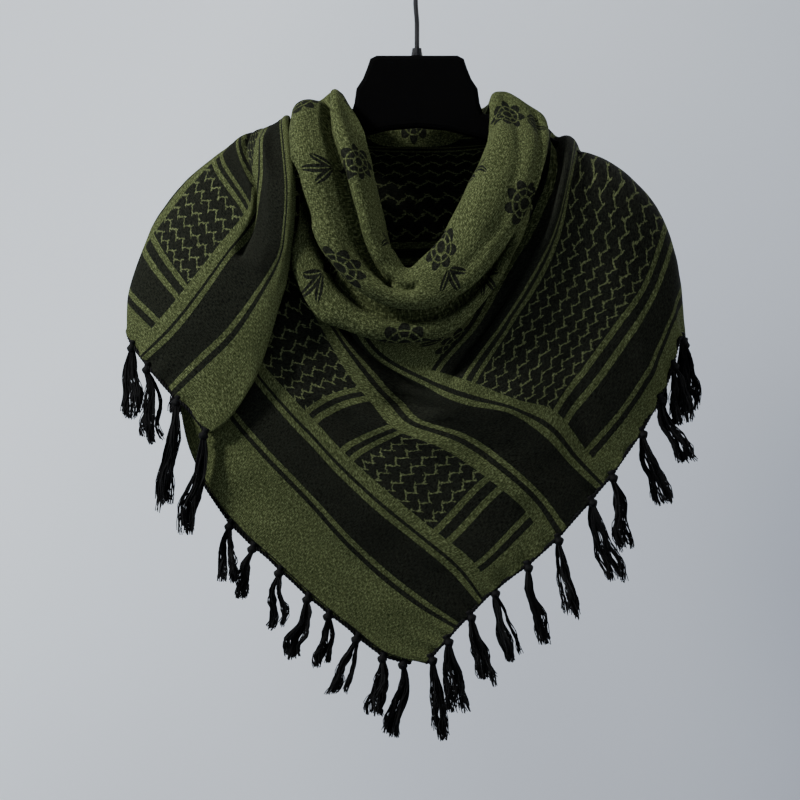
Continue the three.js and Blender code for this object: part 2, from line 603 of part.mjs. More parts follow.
function hangerBoard() {
  const right = HALF_OUTLINE.map(({ x, z }) => new THREE.Vector2(x, z));
  const left = HALF_OUTLINE.slice(0, -1).reverse().map(({ x, z }) => new THREE.Vector2(-x, z));
  const board = new THREE.ExtrudeGeometry(new THREE.Shape([...right, ...left]), {
    depth: BOARD.thickness - 2 * BOARD.round,
    bevelEnabled: true,
    bevelThickness: BOARD.round,
    bevelSize: BOARD.round,
    bevelOffset: -BOARD.round,
    bevelSegments: 2,
  });
  return board.rotateX(Math.PI / 2).translate(0, BOARD.thickness / 2 - BOARD.round, 0);
}
addMesh("hanger_board", toGeometry(toSolid(hangerBoard())), flock);

// The hook: a round eye open to the left, on a straight shank with a ferrule
function hookSolid() {
  const eyeCentre = WIRE / 2 - EYE.radius;
  const arc = steps(EYE.from, EYE.to, EYE.parts).map((degrees) => {
    const angle = THREE.MathUtils.degToRad(degrees);
    return new THREE.Vector3(EYE.radius * Math.cos(angle), 0, eyeCentre + EYE.radius * Math.sin(angle));
  });
  const foot = BOARD.top + SHANK.gap;
  const shank = [foot + FERRULE.height / 2, foot + SHANK.straight, eyeCentre - EYE.radius - SHANK.bend].map(
    (z) => new THREE.Vector3(0, 0, z),
  );
  const path = new THREE.CatmullRomCurve3([...shank, ...arc], false, "centripetal");
  const section = new THREE.Shape().absarc(0, 0, WIRE / 2, 0, 2 * Math.PI);
  const wire = new THREE.ExtrudeGeometry(section, {
    extrudePath: path,
    steps: SHANK.steps,
    curveSegments: 4,
  });
  const ferrule = new THREE.CylinderGeometry(
    FERRULE.radius * FERRULE.taper,
    FERRULE.radius,
    FERRULE.height,
    FERRULE.sides,
  );
  ferrule.rotateX(Math.PI / 2).translate(0, 0, foot + FERRULE.height / 2);
  return toSolid(wire).add(toSolid(ferrule));
}
addMesh("hook", toGeometry(hookSolid()), steel);

export default group;
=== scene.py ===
import math
import bpy
import numpy as np
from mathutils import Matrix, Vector, noise


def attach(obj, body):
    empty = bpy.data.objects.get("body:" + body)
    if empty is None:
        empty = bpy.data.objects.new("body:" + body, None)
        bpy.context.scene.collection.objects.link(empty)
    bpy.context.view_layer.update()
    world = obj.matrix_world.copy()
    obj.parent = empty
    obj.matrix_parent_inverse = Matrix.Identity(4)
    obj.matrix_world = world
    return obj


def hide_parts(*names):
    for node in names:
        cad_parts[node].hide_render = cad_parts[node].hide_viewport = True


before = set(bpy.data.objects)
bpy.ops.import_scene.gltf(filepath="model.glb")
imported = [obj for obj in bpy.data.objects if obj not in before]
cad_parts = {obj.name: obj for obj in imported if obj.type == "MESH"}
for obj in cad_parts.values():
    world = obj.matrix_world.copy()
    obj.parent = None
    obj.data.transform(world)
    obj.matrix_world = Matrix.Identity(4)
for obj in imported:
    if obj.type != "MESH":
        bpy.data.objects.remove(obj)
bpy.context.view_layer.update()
scene = bpy.context.scene
mm = 0.001


# One number, colour or vector socket; sums on it add Math nodes
class Wire:
    def __init__(self, tree, socket=None):
        self.tree = tree
        self.socket = socket

    def node(self, kind, settings=None, inputs=None, output=0):
        made = self.tree.nodes.new(kind)
        for key, value in (settings or {}).items():
            if key == "stops":
                ramp = made.color_ramp
                while len(ramp.elements) > 1:
                    ramp.elements.remove(ramp.elements[0])
                for i, (place, tone) in enumerate(value):
                    spot = ramp.elements.new(place) if i else ramp.elements[0]
                    spot.position = place
                    spot.color = (tone, tone, tone, 1)
            elif key == "interpolation" and kind == "ShaderNodeValToRGB":
                made.color_ramp.interpolation = value
            else:
                setattr(made, key, value)
        for key, value in (inputs or {}).items():
            self.feed(made.inputs[key], value)
        return Wire(self.tree, made.outputs[output] if made.outputs else None)

    def feed(self, target, value):
        if isinstance(value, Wire):
            self.tree.links.new(value.socket, target)
        else:
            target.default_value = value

    def other(self, output):  # another output of the same node
        return Wire(self.tree, self.socket.node.outputs[output])

    def sum(self, operation, *values):
        return self.node("ShaderNodeMath", {"operation": operation}, dict(enumerate(values)))

    def __add__(self, value):
        return self.sum("ADD", self, value)

    def __sub__(self, value):
        return self.sum("SUBTRACT", self, value)

    def __rsub__(self, value):
        return self.sum("SUBTRACT", value, self)

    def __mul__(self, value):
        return self.sum("MULTIPLY", self, value)

    def __truediv__(self, value):
        return self.sum("DIVIDE", self, value)

    def __lt__(self, value):
        return self.sum("LESS_THAN", self, value)

    def __gt__(self, value):
        return self.sum("GREATER_THAN", self, value)

    def __abs__(self):
        return self.sum("ABSOLUTE", self)

    __radd__ = __add__
    __rmul__ = __mul__


def newMaterial(name):
    material = bpy.data.materials.new(name)
    material.use_nodes = True
    material.node_tree.nodes.clear()
    return material, Wire(material.node_tree)


def finishMaterial(start, shader):
    start.node("ShaderNodeOutputMaterial", None, {"Surface": shader})


def clothShader(start, colour, roughness, bump, specular):  # a dull finish with a relief
    shader = start.node("ShaderNodeBsdfPrincipled", None, {
        "Base Color": colour, "Roughness": roughness, "Normal": bump, "Specular IOR Level": specular})
    finishMaterial(start, shader)


def mixColour(wire, factor, first, second):
    return wire.node("ShaderNodeMix", {"data_type": "RGBA"}, {0: factor, 6: first, 7: second}, output=2)


def speckle(wire, coordinates, scale, detail=2.0, roughness=0.5):
    return wire.node("ShaderNodeTexNoise", None, {
        "Vector": coordinates, "Scale": scale, "Detail": detail, "Roughness": roughness})


def objectPlace(start):  # the place on the object, in metres
    return start.node("ShaderNodeTexCoord", None, None, output=3)


def mapped(wire, coordinates, **settings):  # the coordinates moved or stretched
    return wire.node("ShaderNodeMapping", None, {0: coordinates, **settings})


def relief(wire, height, strength, depth):
    return wire.node("ShaderNodeBump", None, {"Strength": strength, "Distance": depth, "Height": height})


def clamped(value):  # kept between 0 and 1
    raised = value.sum("MAXIMUM", value, 0)
    return raised.sum("MINIMUM", raised, 1)


def floor(value):
    return value.sum("FLOOR", value)


# The weave: bands start so many mm from the plain hem (u) or from the fringed edge (v)
pattern = {
    "clothSide": 1100,
    "bandsEnd": 300,
    "hemBands": [
        (0, "olive"), (66, "black"), (71, "olive"), (76, "black"), (113, "olive"), (119, "black"),
        (123, "olive"), (134, "panel"), (205, "olive"), (216, "black"), (221, "olive"),
        (226, "black"), (267, "olive"), (272, "black"), (277, "olive"), (288, "centre")],
    "edgeBands": [
        (0, "olive"), (28, "black"), (35, "olive"), (41, "black"), (69, "olive"), (75, "black"),
        (83, "olive"), (89, "net"), (195, "olive"), (201, "black"), (209, "olive"), (215, "black"),
        (252, "olive"), (259, "black"), (266, "field")],
    "panelBands": [
        (0, "olive"), (28, "black"), (35, "olive"), (41, "black"), (69, "olive"), (75, "black"),
        (83, "olive"), (89, "net"), (181, "olive"), (187, "black"), (193, "olive"), (199, "black"),
        (232, "olive"), (238, "black"), (244, "olive"), (250, "net")],
    "netFrom": 89,
    "netPitch": 15.2,
    "netPeriod": 13.0,
    "netSwing": 2.9,
    "netLine": 0.95,  # mm either side, and how much of it comes and goes
    "netFleck": 3.4,
    "netBarb": 0.16,  # how far a line runs on past its turn, of a period
    "netShift": 0.08,  # of a period, from row to row
    "ragged": 3.6,
    "raggedScale": 330,
    "fleckScale": 560,
}
zoneTones = {"olive": 0.0, "black": 1.0, "net": 0.5, "field": 0.25, "panel": 0.7, "centre": 0.4}
toneGap = 0.06  # less than what parts two zones
motif = {  # mm
    "cell": 92,
    "rise": 0.36,  # of the cell, up to the rosette's middle
    "petals": 14,
    "tips": 7,
    "heart": 5.2,
    "ring": 7.5,
    "veinAt": 13,
    "vein": 0.8,
    "seam": 2.6,
    "leafVein": 0.6,
    "stalkFrom": 23,
    "midLeaf": (13, 14, 150),  # its middle along the stalk, and its half sizes squared
    "sideLeaf": (11, 12, 100),
    "sideTurn": (0.77, 0.64),  # cosine and sine of the side leaves' lean
}


def bandRamp(place, bands):
    length = pattern["bandsEnd"]
    stops = [(at / length, zoneTones[zone]) for at, zone in bands]
    return place.node("ShaderNodeValToRGB", {"stops": stops, "interpolation": "CONSTANT"}, {
        0: place / length})


def isZone(tone, zone):
    return abs(tone - zoneTones[zone]) < toneGap


def choose(mask, first, second):  # first where the mask is 1
    return second + mask * (first - second)


def netMask(u, v, fleck):  # 1 on the olive lines of the net
    row = (v - pattern["netFrom"]) / pattern["netPitch"]
    down = (row - floor(row) - 0.5) * pattern["netPitch"]
    along = u / pattern["netPeriod"] + floor(row) * pattern["netShift"]
    lines = None
    for phase, way in ((0.0, 1), (0.5, -1)):  # the lines that fall, and the lines that rise
        step = along + phase
        place = step - floor(step)
        centre = (place * 4 - 1) * (way * pattern["netSwing"])
        inside = place < 0.5 + pattern["netBarb"]
        line = (abs(down - centre) < fleck + pattern["netLine"]) * inside
        lines = line if lines is None else lines.sum("MAXIMUM", lines, line)
    return lines


def motifMask(u, v):  # 1 on the black rosettes and sprigs of the centre field
    cell = motif["cell"]
    column = u / cell
    row = v / cell + floor(column) * 0.5
    x = (column - floor(column) - 0.5) * cell
    y = (row - floor(row) - motif["rise"]) * cell
    radius = (x * x + y * y).sum("SQRT", x * x + y * y)
    angle = y.sum("ARCTAN2", y, x) * 4
    lobe = abs(angle.sum("COSINE", angle))
    petals = (radius < lobe * motif["tips"] + motif["petals"]) * (radius > motif["ring"])
    petals = petals * (lobe * radius > motif["seam"]) * (abs(radius - motif["veinAt"]) > motif["vein"])

    def leaf(across, along, wide, long):
        return (across * across / wide + along * along / long < 1) * (abs(across) > motif["leafVein"])

    stalk = y - motif["stalkFrom"]
    middle, wide, long = motif["midLeaf"]
    mid = leaf(x, stalk - middle, wide, long)
    middle, wide, long = motif["sideLeaf"]
    cosine, sine = motif["sideTurn"]
    side = leaf(abs(x) * cosine - stalk * sine, abs(x) * sine + stalk * cosine - middle, wide, long)
    shapes = petals
    for shape in (radius < motif["heart"], mid, side):
        shapes = shapes.sum("MAXIMUM", shapes, shape)
    return shapes


cloth = {
    "olive": (0.066, 0.079, 0.031, 1),
    "oliveDark": (0.013, 0.017, 0.006, 1),
    "oliveLight": (0.165, 0.190, 0.090, 1),
    "black": (0.0012, 0.0014, 0.0010, 1),
    "blackLight": (0.0165, 0.0186, 0.0120, 1),
    "roughness": 0.92,
    "specular": 0.06,
    "thread": 1000,  # slubs to a metre, along and across
    "crossThread": 1100,
    "slubContrast": 5.0,
    "slubMiddle": 0.50,
    "cloudScale": 26,
    "cloudContrast": 0.3,
    "paleFrom": 0.66,
    "paleContrast": 1.2,
    "netLift": 0.18,  # the net's olive lines are mixed this much further toward the light olive
    "darkContrast": 0.8,
    "relief": 0.5,
    "reliefDepth": 0.0006,
    "oliveHeight": 0.25,
}


def clothMaterial(name, banded):
    material, start = newMaterial(name)
    uv = start.node("ShaderNodeUVMap", {"uv_map": "cloth"})
    split = start.node("ShaderNodeSeparateXYZ", None, {0: uv})
    raggedU = speckle(start, uv, pattern["raggedScale"]) - 0.5
    raggedV = speckle(start, mapped(start, uv, Location=(3, 7, 1)), pattern["raggedScale"]) - 0.5
    u = split / mm + raggedU
    v = split.other(1) / mm + raggedV
    netLift = 0
    if banded:
        near = u.sum("MINIMUM", u, pattern["clothSide"] - u)
        tone = bandRamp(near, pattern["hemBands"])
        tone = choose(isZone(tone, "panel"), bandRamp(v, pattern["panelBands"]), tone)
        tone = choose(isZone(tone, "centre"), bandRamp(v, pattern["edgeBands"]), tone)
        black = isZone(tone, "black")
        netLift = isZone(tone, "net") * cloth["netLift"]
        fleck = (speckle(start, uv, pattern["fleckScale"]) - 0.5) * pattern["netFleck"]
        net = netMask(u + raggedU * pattern["ragged"], v + raggedV * pattern["ragged"], fleck)
        black = black.sum("MAXIMUM", black, isZone(tone, "net") * (1 - net))
        black = black.sum("MAXIMUM", black, isZone(tone, "field") * motifMask(u, v))
    else:
        black = motifMask(u, v)
    slub = speckle(start, mapped(start, uv, Scale=(0.3, 1, 1)), cloth["thread"], roughness=0.6)
    cross = speckle(start, mapped(start, uv, Scale=(1, 0.3, 1)), cloth["crossThread"], roughness=0.6)
    cloud = (speckle(start, uv, cloth["cloudScale"]) - 0.5) * cloth["cloudContrast"]
    grain = slub * 0.55 + cross * 0.45 - 0.5
    heather = clamped(grain * cloth["slubContrast"] + cloth["slubMiddle"] + cloud)
    olive = mixColour(start, heather, cloth["oliveDark"], cloth["olive"])
    light = (heather - cloth["paleFrom"]) * cloth["paleContrast"]
    light = light.sum("MAXIMUM", light, 0) + netLift
    olive = mixColour(start, light, olive, cloth["oliveLight"])
    dark = mixColour(start, heather * cloth["darkContrast"], cloth["black"], cloth["blackLight"])
    colour = mixColour(start, black, olive, dark)
    height = slub * 0.6 + cross * 0.4 + (1 - black) * cloth["oliveHeight"]
    bump = relief(start, height, cloth["relief"], cloth["reliefDepth"])
    clothShader(start, colour, cloth["roughness"], bump, cloth["specular"])
    return material


# The form under the cloth
form = {
    "depth": 52,  # how far the cloth stands from the middle plane
    "turn": 150,  # over this width it turns round a shoulder
    "viewDistance": 2500,
    "viewPlane": -60,  # the tables' sizes hold in this plane, as seen from the front
    "viewAxis": (-16, -439),
    "thickness": 0.9,
    "creaseShape": 1.7,  # the higher, the squarer a crease
}

sideProfile = [
    {"z": -120, "left": 40, "right": 40},
    {"z": -155, "left": 72, "right": 72},
    {"z": -176, "left": 112, "right": 110},
    {"z": -200, "left": 166, "right": 146},
    {"z": -233, "left": 212, "right": 196},
    {"z": -259, "left": 233, "right": 224},
    {"z": -300, "left": 252, "right": 238},
    {"z": -345, "left": 266, "right": 244},
    {"z": -390, "left": 269, "right": 245},
    {"z": -700, "left": 269, "right": 245},
]

frontRows = [
    {"u": 0, "at": [[7, -681, -4], [-29, -671, -4], [-63, -645, -4], [-99, -616, -3],
     [-135, -582, -2], [-160, -560, -1], [-180, -536, -1], [-209, -485, -3], [-218, -435, -4]]},
    {"u": 68, "at": [[35, -649, -1], [3, -630, -1], [-32, -604, 1], [-65, -573, 2], [-99, -535, 2],
     [-123, -510, 1], [-144, -488, 0], [-180, -443, -3], [-200, -395, -5]]},
    {"u": 113, "at": [[56, -627, 0], [30, -598, 3], [-3, -570, 5], [-38, -542, 6], [-75, -507, 5],
     [-98, -482, 4], [-119, -460, 2], [-156, -414, 0], [-182, -366, -2]]},
    {"u": 134, "at": [[67, -616, 0], [52, -589, 3], [14, -558, 3], [-26, -525, 4], [-68, -487, 4],
     [-92, -461, 3], [-114, -438, 1], [-152, -393, -1], [-176, -347, -4]]},
    {"u": 205, "at": [[119, -574, 0], [100, -542, 4], [62, -509, 8], [24, -484, 9], [-23, -464, 5],
     [-44, -440, 1], [-64, -415, -3], [-93, -364, -6], [-118, -316, -8]]},
    {"u": 267, "at": [[166, -522, 0], [142, -500, 3], [117, -473, 9], [86, -452, 15], [46, -444, 17],
     [26, -437, 14], [10, -428, 10], [-41, -399, 2], [-72, -352, -4]]},
    {"u": 288, "at": [[176, -510, 0], [155, -484, 2], [125, -448, 6], [92, -439, 11], [54, -424, 12],
     [32, -416, 12], [13, -411, 9], [-30, -386, 4], [-58, -340, 0]]},
    {"u": 340, "at": [[208, -463, 1], [189, -444, 4], [156, -404, 6], [123, -389, 4], [86, -373, 6],
     [69, -368, 11], [46, -371, 4], [8, -366, 5], [-24, -336, 3]]},
    {"u": 390, "at": [[230, -421, 1], [214, -403, 6], [185, -364, 6], [150, -347, 5], [115, -329, 7],
     [97, -322, 15], [71, -322, -1], [38, -318, -3], [8, -306, -3]]},
    {"u": 432, "at": [[242, -381, 1], [232, -363, 8], [209, -329, 6], [171, -309, 7], [132, -290, 8],
     [119, -281, 18], [92, -284, -3], [62, -284, -4], [36, -282, -4]]},
]

backRows = [
    {"u": 470, "at": [[246, -384, -8], [242, -335, 0], [224, -285, 4], [184, -257, 8],
     [142, -244, 9], [134, -232, 17], [108, -246, -2]]},
    {"u": 488, "at": [[246, -385, -20], [243, -334, -10], [226, -273, -10], [190, -228, 0],
     [150, -207, -16], [139, -195, 0], [122, -187, -12]]},
    {"u": 505, "face": 1, "at": [[238, -386, 18], [237, -331, 14], [219, -274, 6], [181, -237, 3],
     [150, -212, 4], [138, -202, 5], [120, -198, -4]]},
    {"u": 560, "face": 1, "at": [[190, -388, 10], [184, -340, 10], [170, -287, 8], [150, -242, 6],
     [128, -210, 4], [116, -203, 2], [104, -197, -2]]},
    {"u": 620, "face": 1, "at": [[126, -390, 4], [118, -344, 3], [108, -292, 3], [97, -240, 4],
     [84, -207, 3], [78, -201, 2], [72, -195, 0]]},
    {"u": 690, "face": 1, "at": [[50, -388, 12], [48, -342, 11], [43, -292, 9], [36, -240, 7],
     [28, -211, 4], [26, -203, 2], [24, -197, 0]]},
    {"u": 760, "face": 1, "at": [[-26, -390, 4], [-25, -344, 4], [-26, -294, 4], [-26, -242, 5],
     [-24, -211, 4], [-23, -203, 2], [-22, -197, 0]]},
    {"u": 830, "face": 1, "at": [[-104, -387, 13], [-98, -340, 12], [-92, -290, 10], [-84, -238, 8],
     [-72, -208, 4], [-69, -201, 2], [-66, -195, 0]]},
    {"u": 880, "face": 1, "at": [[-168, -388, 6], [-160, -342, 5], [-148, -290, 5], [-134, -236, 5],
     [-112, -206, 3], [-107, -200, 0], [-100, -194, -3]]},
    {"u": 922, "face": 1, "at": [[-226, -386, 10], [-222, -336, 8], [-206, -280, 4], [-180, -232, 3],
     [-150, -202, 2], [-141, -197, 1], [-132, -192, 0]]},
]

flapRows = [
    {"u": 178, "face": 1, "at": [*backRows[-1]["at"], [-126, -190, -1], [-121, -190, -2]]},
    {"u": 155, "at": [[-267, -374, 2], [-264, -334, 3], [-243, -278, 3], [-218, -243, 3],
     [-181, -213, 3], [-166, -200, 2], [-153, -193, 0], [-143, -189, -6], [-126, -189, -41]]},
    {"u": 134, "at": [[-258, -393, 3], [-236, -366, 7], [-210, -335, 11], [-182, -299, 12],
     [-154, -262, 7], [-152, -243, 4], [-151, -224, 3], [-143, -190, -2], [-125, -189, -41]]},
    {"u": 113, "at": [[-250, -404, 4], [-224, -380, 9], [-198, -347, 13], [-173, -311, 14],
     [-151, -281, 10], [-144, -255, 8], [-141, -232, 9], [-136, -187, 1], [-123, -189, -42]]},
    {"u": 76, "at": [[-230, -428, 5], [-203, -400, 11], [-175, -373, 17], [-147, -336, 20],
     [-128, -305, 21], [-123, -275, 22], [-122, -244, 22], [-126, -181, 3], [-119, -188, -43]]},
    {"u": 48, "at": [[-209, -449, 6], [-182, -428, 12], [-156, -398, 17], [-136, -354, 20],
     [-122, -313, 21], [-117, -281, 22], [-115, -247, 21], [-121, -177, 3], [-117, -187, -43]]},
    {"u": 22, "at": [[-193, -470, 9], [-172, -455, 11], [-148, -417, 13], [-130, -365, 16],
     [-118, -318, 17], [-113, -284, 18], [-112, -249, 17], [-118, -178, 0], [-115, -187, -44]]},
    {"u": 2, "at": [[-196, -466, 6], [-176, -449, 6], [-153, -414, 9], [-136, -363, 11],
     [-124, -316, 12], [-119, -283, 12], [-118, -248, 11], [-121, -181, -5], [-116, -190, -44]]},
]

cowlRows = [
    {"at": [[-91, -208, -4.5], [-96, -212, -2.5], [-100, -216, -2], [-104, -219, -1],
     [-107, -221, -2], [-108, -221, -5.5]]},
    {"at": [[-88, -244, 1.5], [-96, -251, 4.5], [-103, -258, 6], [-109, -264, 6], [-112, -268, 4],
     [-113, -268, -0.5]]},
    {"at": [[-80, -272, 5.5], [-90, -283, 10.5], [-99, -294, 12], [-106, -302, 11], [-111, -307, 8],
     [-111, -304, 2.5]]},
    {"at": [[-66, -297, 7.5], [-76, -312, 15.5], [-86, -326, 19], [-94, -338, 18], [-99, -344, 14],
     [-99, -340, 7.5]]},
    {"at": [[-48, -316, 6.5], [-56, -333, 15.5], [-64, -349, 24], [-70, -362, 24], [-75, -370, 18],
     [-76, -365, 10.5]]},
    {"at": [[-28, -327, 6.5], [-32, -345, 16.5], [-36, -362, 27], [-40, -376, 27], [-42, -384, 20],
     [-43, -378, 11.5]]},
    {"at": [[-8, -331, 6.5], [-7, -348, 16.5], [-6, -365, 28], [-5, -378, 28], [-4, -386, 21],
     [-4, -380, 12.5]]},
    {"at": [[14, -328, 6.5], [18, -344, 16.5], [23, -359, 28], [27, -371, 28], [30, -378, 21],
     [29, -372, 12.5]]},
    {"at": [[34, -312, 5.5], [40, -327, 15.5], [46, -341, 24], [50, -351, 26], [54, -357, 20],
     [52, -352, 12.5]]},
    {"at": [[54, -288, 6.5], [61, -300, 14.5], [67, -312, 22], [72, -322, 23], [76, -329, 18],
     [74, -325, 11]]},
    {"at": [[74, -260, 5.7], [81, -270, 12.7], [87, -280, 18.2], [91, -289, 19], [95, -295, 14],
     [93, -291, 7.5]]},
    {"at": [[88, -234, 3.5], [94, -242, 8.5], [99, -249, 12], [103, -256, 13.5], [106, -261, 9.5],
     [104, -258, 4.3]]},
]

rollRows = [
    {"at": [[-64, -166, -24], [-69, -157, -10], [-76, -155, 2], [-88, -164, -1], [-98, -166, 3],
     [-109, -174, 4], [-107, -178, -14]]},
    {"at": [[-50, -190, -10], [-62, -181, -4], [-72, -181, 5], [-87, -186, 5], [-100, -189, 9],
     [-113, -193, 7], [-110, -198, -4]]},
    {"at": [[-42, -222, 6], [-51, -216, 16], [-60, -216, 24], [-77, -219, 20], [-93, -221, 25],
     [-109, -222, 18], [-105, -225, 10]]},
    {"at": [[-36, -248, 8], [-45, -240, 20], [-55, -243, 29], [-71, -250, 25], [-87, -253, 31],
     [-102, -253, 23], [-98, -254, 15]]},
    {"at": [[-30, -272, 9], [-38, -264, 22], [-49, -268, 33], [-65, -277, 29], [-79, -282, 36],
     [-93, -280, 28], [-90, -278, 22]]},
    {"at": [[-24, -298, 9], [-31, -288, 22], [-41, -296, 35], [-54, -304, 33], [-67, -309, 40],
     [-79, -307, 32], [-77, -303, 25]]},
    {"at": [[-16, -314, 10], [-20, -305, 23], [-27, -316, 36], [-36, -325, 37], [-46, -331, 42],
     [-54, -333, 34], [-52, -328, 26]]},
    {"at": [[-8, -324, 10], [-8, -317, 24], [-10, -326, 36], [-14, -336, 41], [-18, -343, 42],
     [-22, -350, 34], [-20, -344, 26]]},
    {"at": [[2, -316, 10], [6, -306, 23], [8, -317, 36], [10, -329, 42], [12, -340, 42],
     [13, -350, 34], [12, -344, 26]]},
    {"at": [[14, -304, 9], [21, -291, 22], [26, -303, 34], [31, -315, 40], [36, -326, 41],
     [41, -336, 34], [38, -330, 26]]},
    {"at": [[26, -282, 8], [34, -268, 20], [42, -279, 32], [50, -291, 38], [58, -303, 38],
     [66, -313, 31], [62, -307, 24]]},
    {"at": [[40, -254, 6], [49, -241, 17], [59, -250, 28], [70, -261, 33], [81, -272, 33],
     [92, -281, 27], [87, -276, 22]]},
    {"at": [[54, -226, 4], [63, -216, 13], [75, -222, 22], [87, -230, 27], [99, -239, 27],
     [110, -246, 21], [105, -243, 18]]},
    {"at": [[64, -202, 2], [74, -194, 8], [86, -197, 16], [97, -202, 20], [109, -208, 21],
     [119, -213, 15], [114, -213, 9]]},
    {"at": [[66, -184, -10], [77, -173, -6], [88, -172, 1], [99, -175, 5], [110, -181, 8],
     [121, -189, 6], [117, -193, -3]]},
    {"at": [[66, -167, -22], [71, -157, -8], [81, -156, 4], [92, -160, 5], [104, -168, 6],
     [116, -178, 3], [114, -182, -14]]},
    {"face": 1, "at": [[60, -178, 2], [64, -168, 10], [74, -165, 22], [86, -171, 26],
     [100, -180, 28], [112, -198, 20], [111, -202, 11]]},
    {"face": 1, "at": [[34, -202, -14], [37, -184, -10], [42, -176, 0], [48, -178, 12],
     [54, -186, 20], [60, -206, 18], [60, -209, 12]]},
    {"face": 1, "at": [[-3, -206, -18], [-3, -189, -14], [-3, -180, -3], [-3, -182, 10],
     [-3, -190, 19], [-3, -212, 18], [-3, -215, 12]]},
    {"face": 1, "at": [[-40, -202, -14], [-43, -184, -10], [-48, -176, 0], [-54, -178, 12],
     [-60, -186, 20], [-66, -206, 18], [-66, -209, 12]]},
    {"face": 1, "at": [[-61, -177, 2], [-66, -167, 10], [-74, -163, 22], [-86, -169, 26],
     [-98, -178, 28], [-110, -194, 18.6], [-109, -198, 10.8]]},
]

# Each tassel: its place along the edge, swing to the side and length, and how far it leans out
fringes = {
    "right": [(8, 6, 68), (44, 8, 60), (92, 15, 57), (140, 18, 58), (181, 16, 65), (216, 13, 66),
              (254, 21, 67), (292, 15, 62), (335, 21, 61), (371, 23, 55), (404, 9, 50)],
    "back": [(445, 7, 58), (478, 3, 62), (515, -4, 60), (552, 3, 64), (589, -3, 61), (626, 5, 63),
             (663, -2, 60), (700, 4, 65), (737, -5, 61), (774, 2, 63), (811, -4, 62), (848, 4, 60),
             (885, -3, 64), (915, -5, 61)],
    "flap": [(960, -2, 61, -3), (994, 10, 64, -5), (1038, -8, 94, -4), (1074, -12, 86, -8)],
    "hem": [(18, -13, 64), (40, -9, 49), (74, -15, 46), (111, -9, 43), (138, -9, 51), (177, -8, 48),
            (214, -10, 42), (248, -2, 47)],
}


def placeCell(cell, face):  # front-view x, z and lift to a point in mm
    x, z, lift = cell
    widths = [row["left" if x < 0 else "right"] for row in sideProfile]
    half = np.interp(-z, [-row["z"] for row in sideProfile], widths)
    inside = min(max((half - abs(x)) / form["turn"], 0), 1)
    y = face * (form["depth"] * math.sqrt(1 - (1 - inside) ** 2) + lift)
    grow = 1 + (y - form["viewPlane"]) / form["viewDistance"]
    axisX, axisZ = form["viewAxis"]
    return axisX + (x - axisX) * grow, y, axisZ + (z - axisZ) * grow


def netOf(rows):
    return np.array([[placeCell(cell, row.get("face", -1)) for cell in row["at"]] for row in rows])


def smoothPath(points, places, closed=False):  # a centripetal curve through the points
    count = len(points)
    places = np.asarray(places, float)
    if closed:
        base = np.floor(places).astype(int)
        near = [points[(base + k) % count] for k in (-1, 0, 1, 2)]
    else:
        base = np.clip(np.floor(places).astype(int), 0, count - 2)
        ends = [2 * points[0] - points[1]], [2 * points[-1] - points[-2]]
        longer = np.concatenate([ends[0], points, ends[1]])
        near = [longer[base + k] for k in range(4)]
    p0, p1, p2, p3 = near
    pairs = (p0, p1), (p1, p2), (p2, p3)
    gaps = [np.sum((b - a) ** 2, axis=-1, keepdims=True) ** 0.25 for a, b in pairs]
    d1 = np.where(gaps[1] < 1e-4, 1, gaps[1])
    d0 = np.where(gaps[0] < 1e-4, d1, gaps[0])
    d2 = np.where(gaps[2] < 1e-4, d1, gaps[2])
    t1 = ((p1 - p0) / d0 - (p2 - p0) / (d0 + d1) + (p2 - p1) / d1) * d1
    t2 = ((p2 - p1) / d1 - (p3 - p1) / (d1 + d2) + (p3 - p2) / d2) * d1
    w = (places - base).reshape(-1, *[1] * (p1.ndim - 1))
    return p1 + t1 * w + (3 * (p2 - p1) - 2 * t1 - t2) * w ** 2 + (2 * (p1 - p2) + t1 + t2) * w ** 3


def smoothGrid(net, rowsAt, columnsAt, closed=False):
    across = smoothPath(net.transpose(1, 0, 2), columnsAt)
    return smoothPath(across.transpose(1, 0, 2), rowsAt, closed)


def levelPlaces(levels, distances):
    if levels[-1] < levels[0]:
        return np.interp(-np.asarray(distances), [-level for level in levels], range(len(levels)))
    return np.interp(distances, levels, range(len(levels)))


def gridNormals(grid, flip, closed=False):
    if closed:
        down = np.roll(grid, -1, axis=0) - np.roll(grid, 1, axis=0)
    else:
        down = np.gradient(grid, axis=0)
    normal = np.cross(down, np.gradient(grid, axis=1))
    normal /= np.linalg.norm(normal, axis=2, keepdims=True) + 1e-9
    return -normal if flip else normal


# Soft ridges (rise above 0) and troughs, each along a line through (u, v) places
def creaseHeights(u, v, creases):
    height = np.zeros(u.shape)
    for line, width, rise in creases:
        near = np.full(u.shape, 1e9)
        for (u0, v0), (u1, v1) in zip(line, line[1:]):
            way = np.array([u1 - u0, v1 - v0], float)
            along = np.clip(((u - u0) * way[0] + (v - v0) * way[1]) / (way @ way), 0, 1)
            near = np.minimum(near, np.hypot(u - u0 - along * way[0], v - v0 - along * way[1]))
        height += rise * np.exp(-(near / width) ** form["creaseShape"])
    return height


def ripple(u, v, size, seed):  # a fixed, uneven softness of the hand-creased cloth
    flat = [noise.noise(Vector((a / size, b / size, seed))) for a, b in zip(u.ravel(), v.ravel())]
    return np.array(flat).reshape(u.shape)


def makeMesh(name, points, faces, material):
    mesh = bpy.data.meshes.new(name)
    mesh.from_pydata(points, [], faces)
    mesh.polygons.foreach_set("use_smooth", [True] * len(mesh.polygons))
    mesh.materials.append(material)
    return mesh


def addObject(name, data):
    thing = bpy.data.objects.new(name, data)
    scene.collection.objects.link(thing)
    return thing


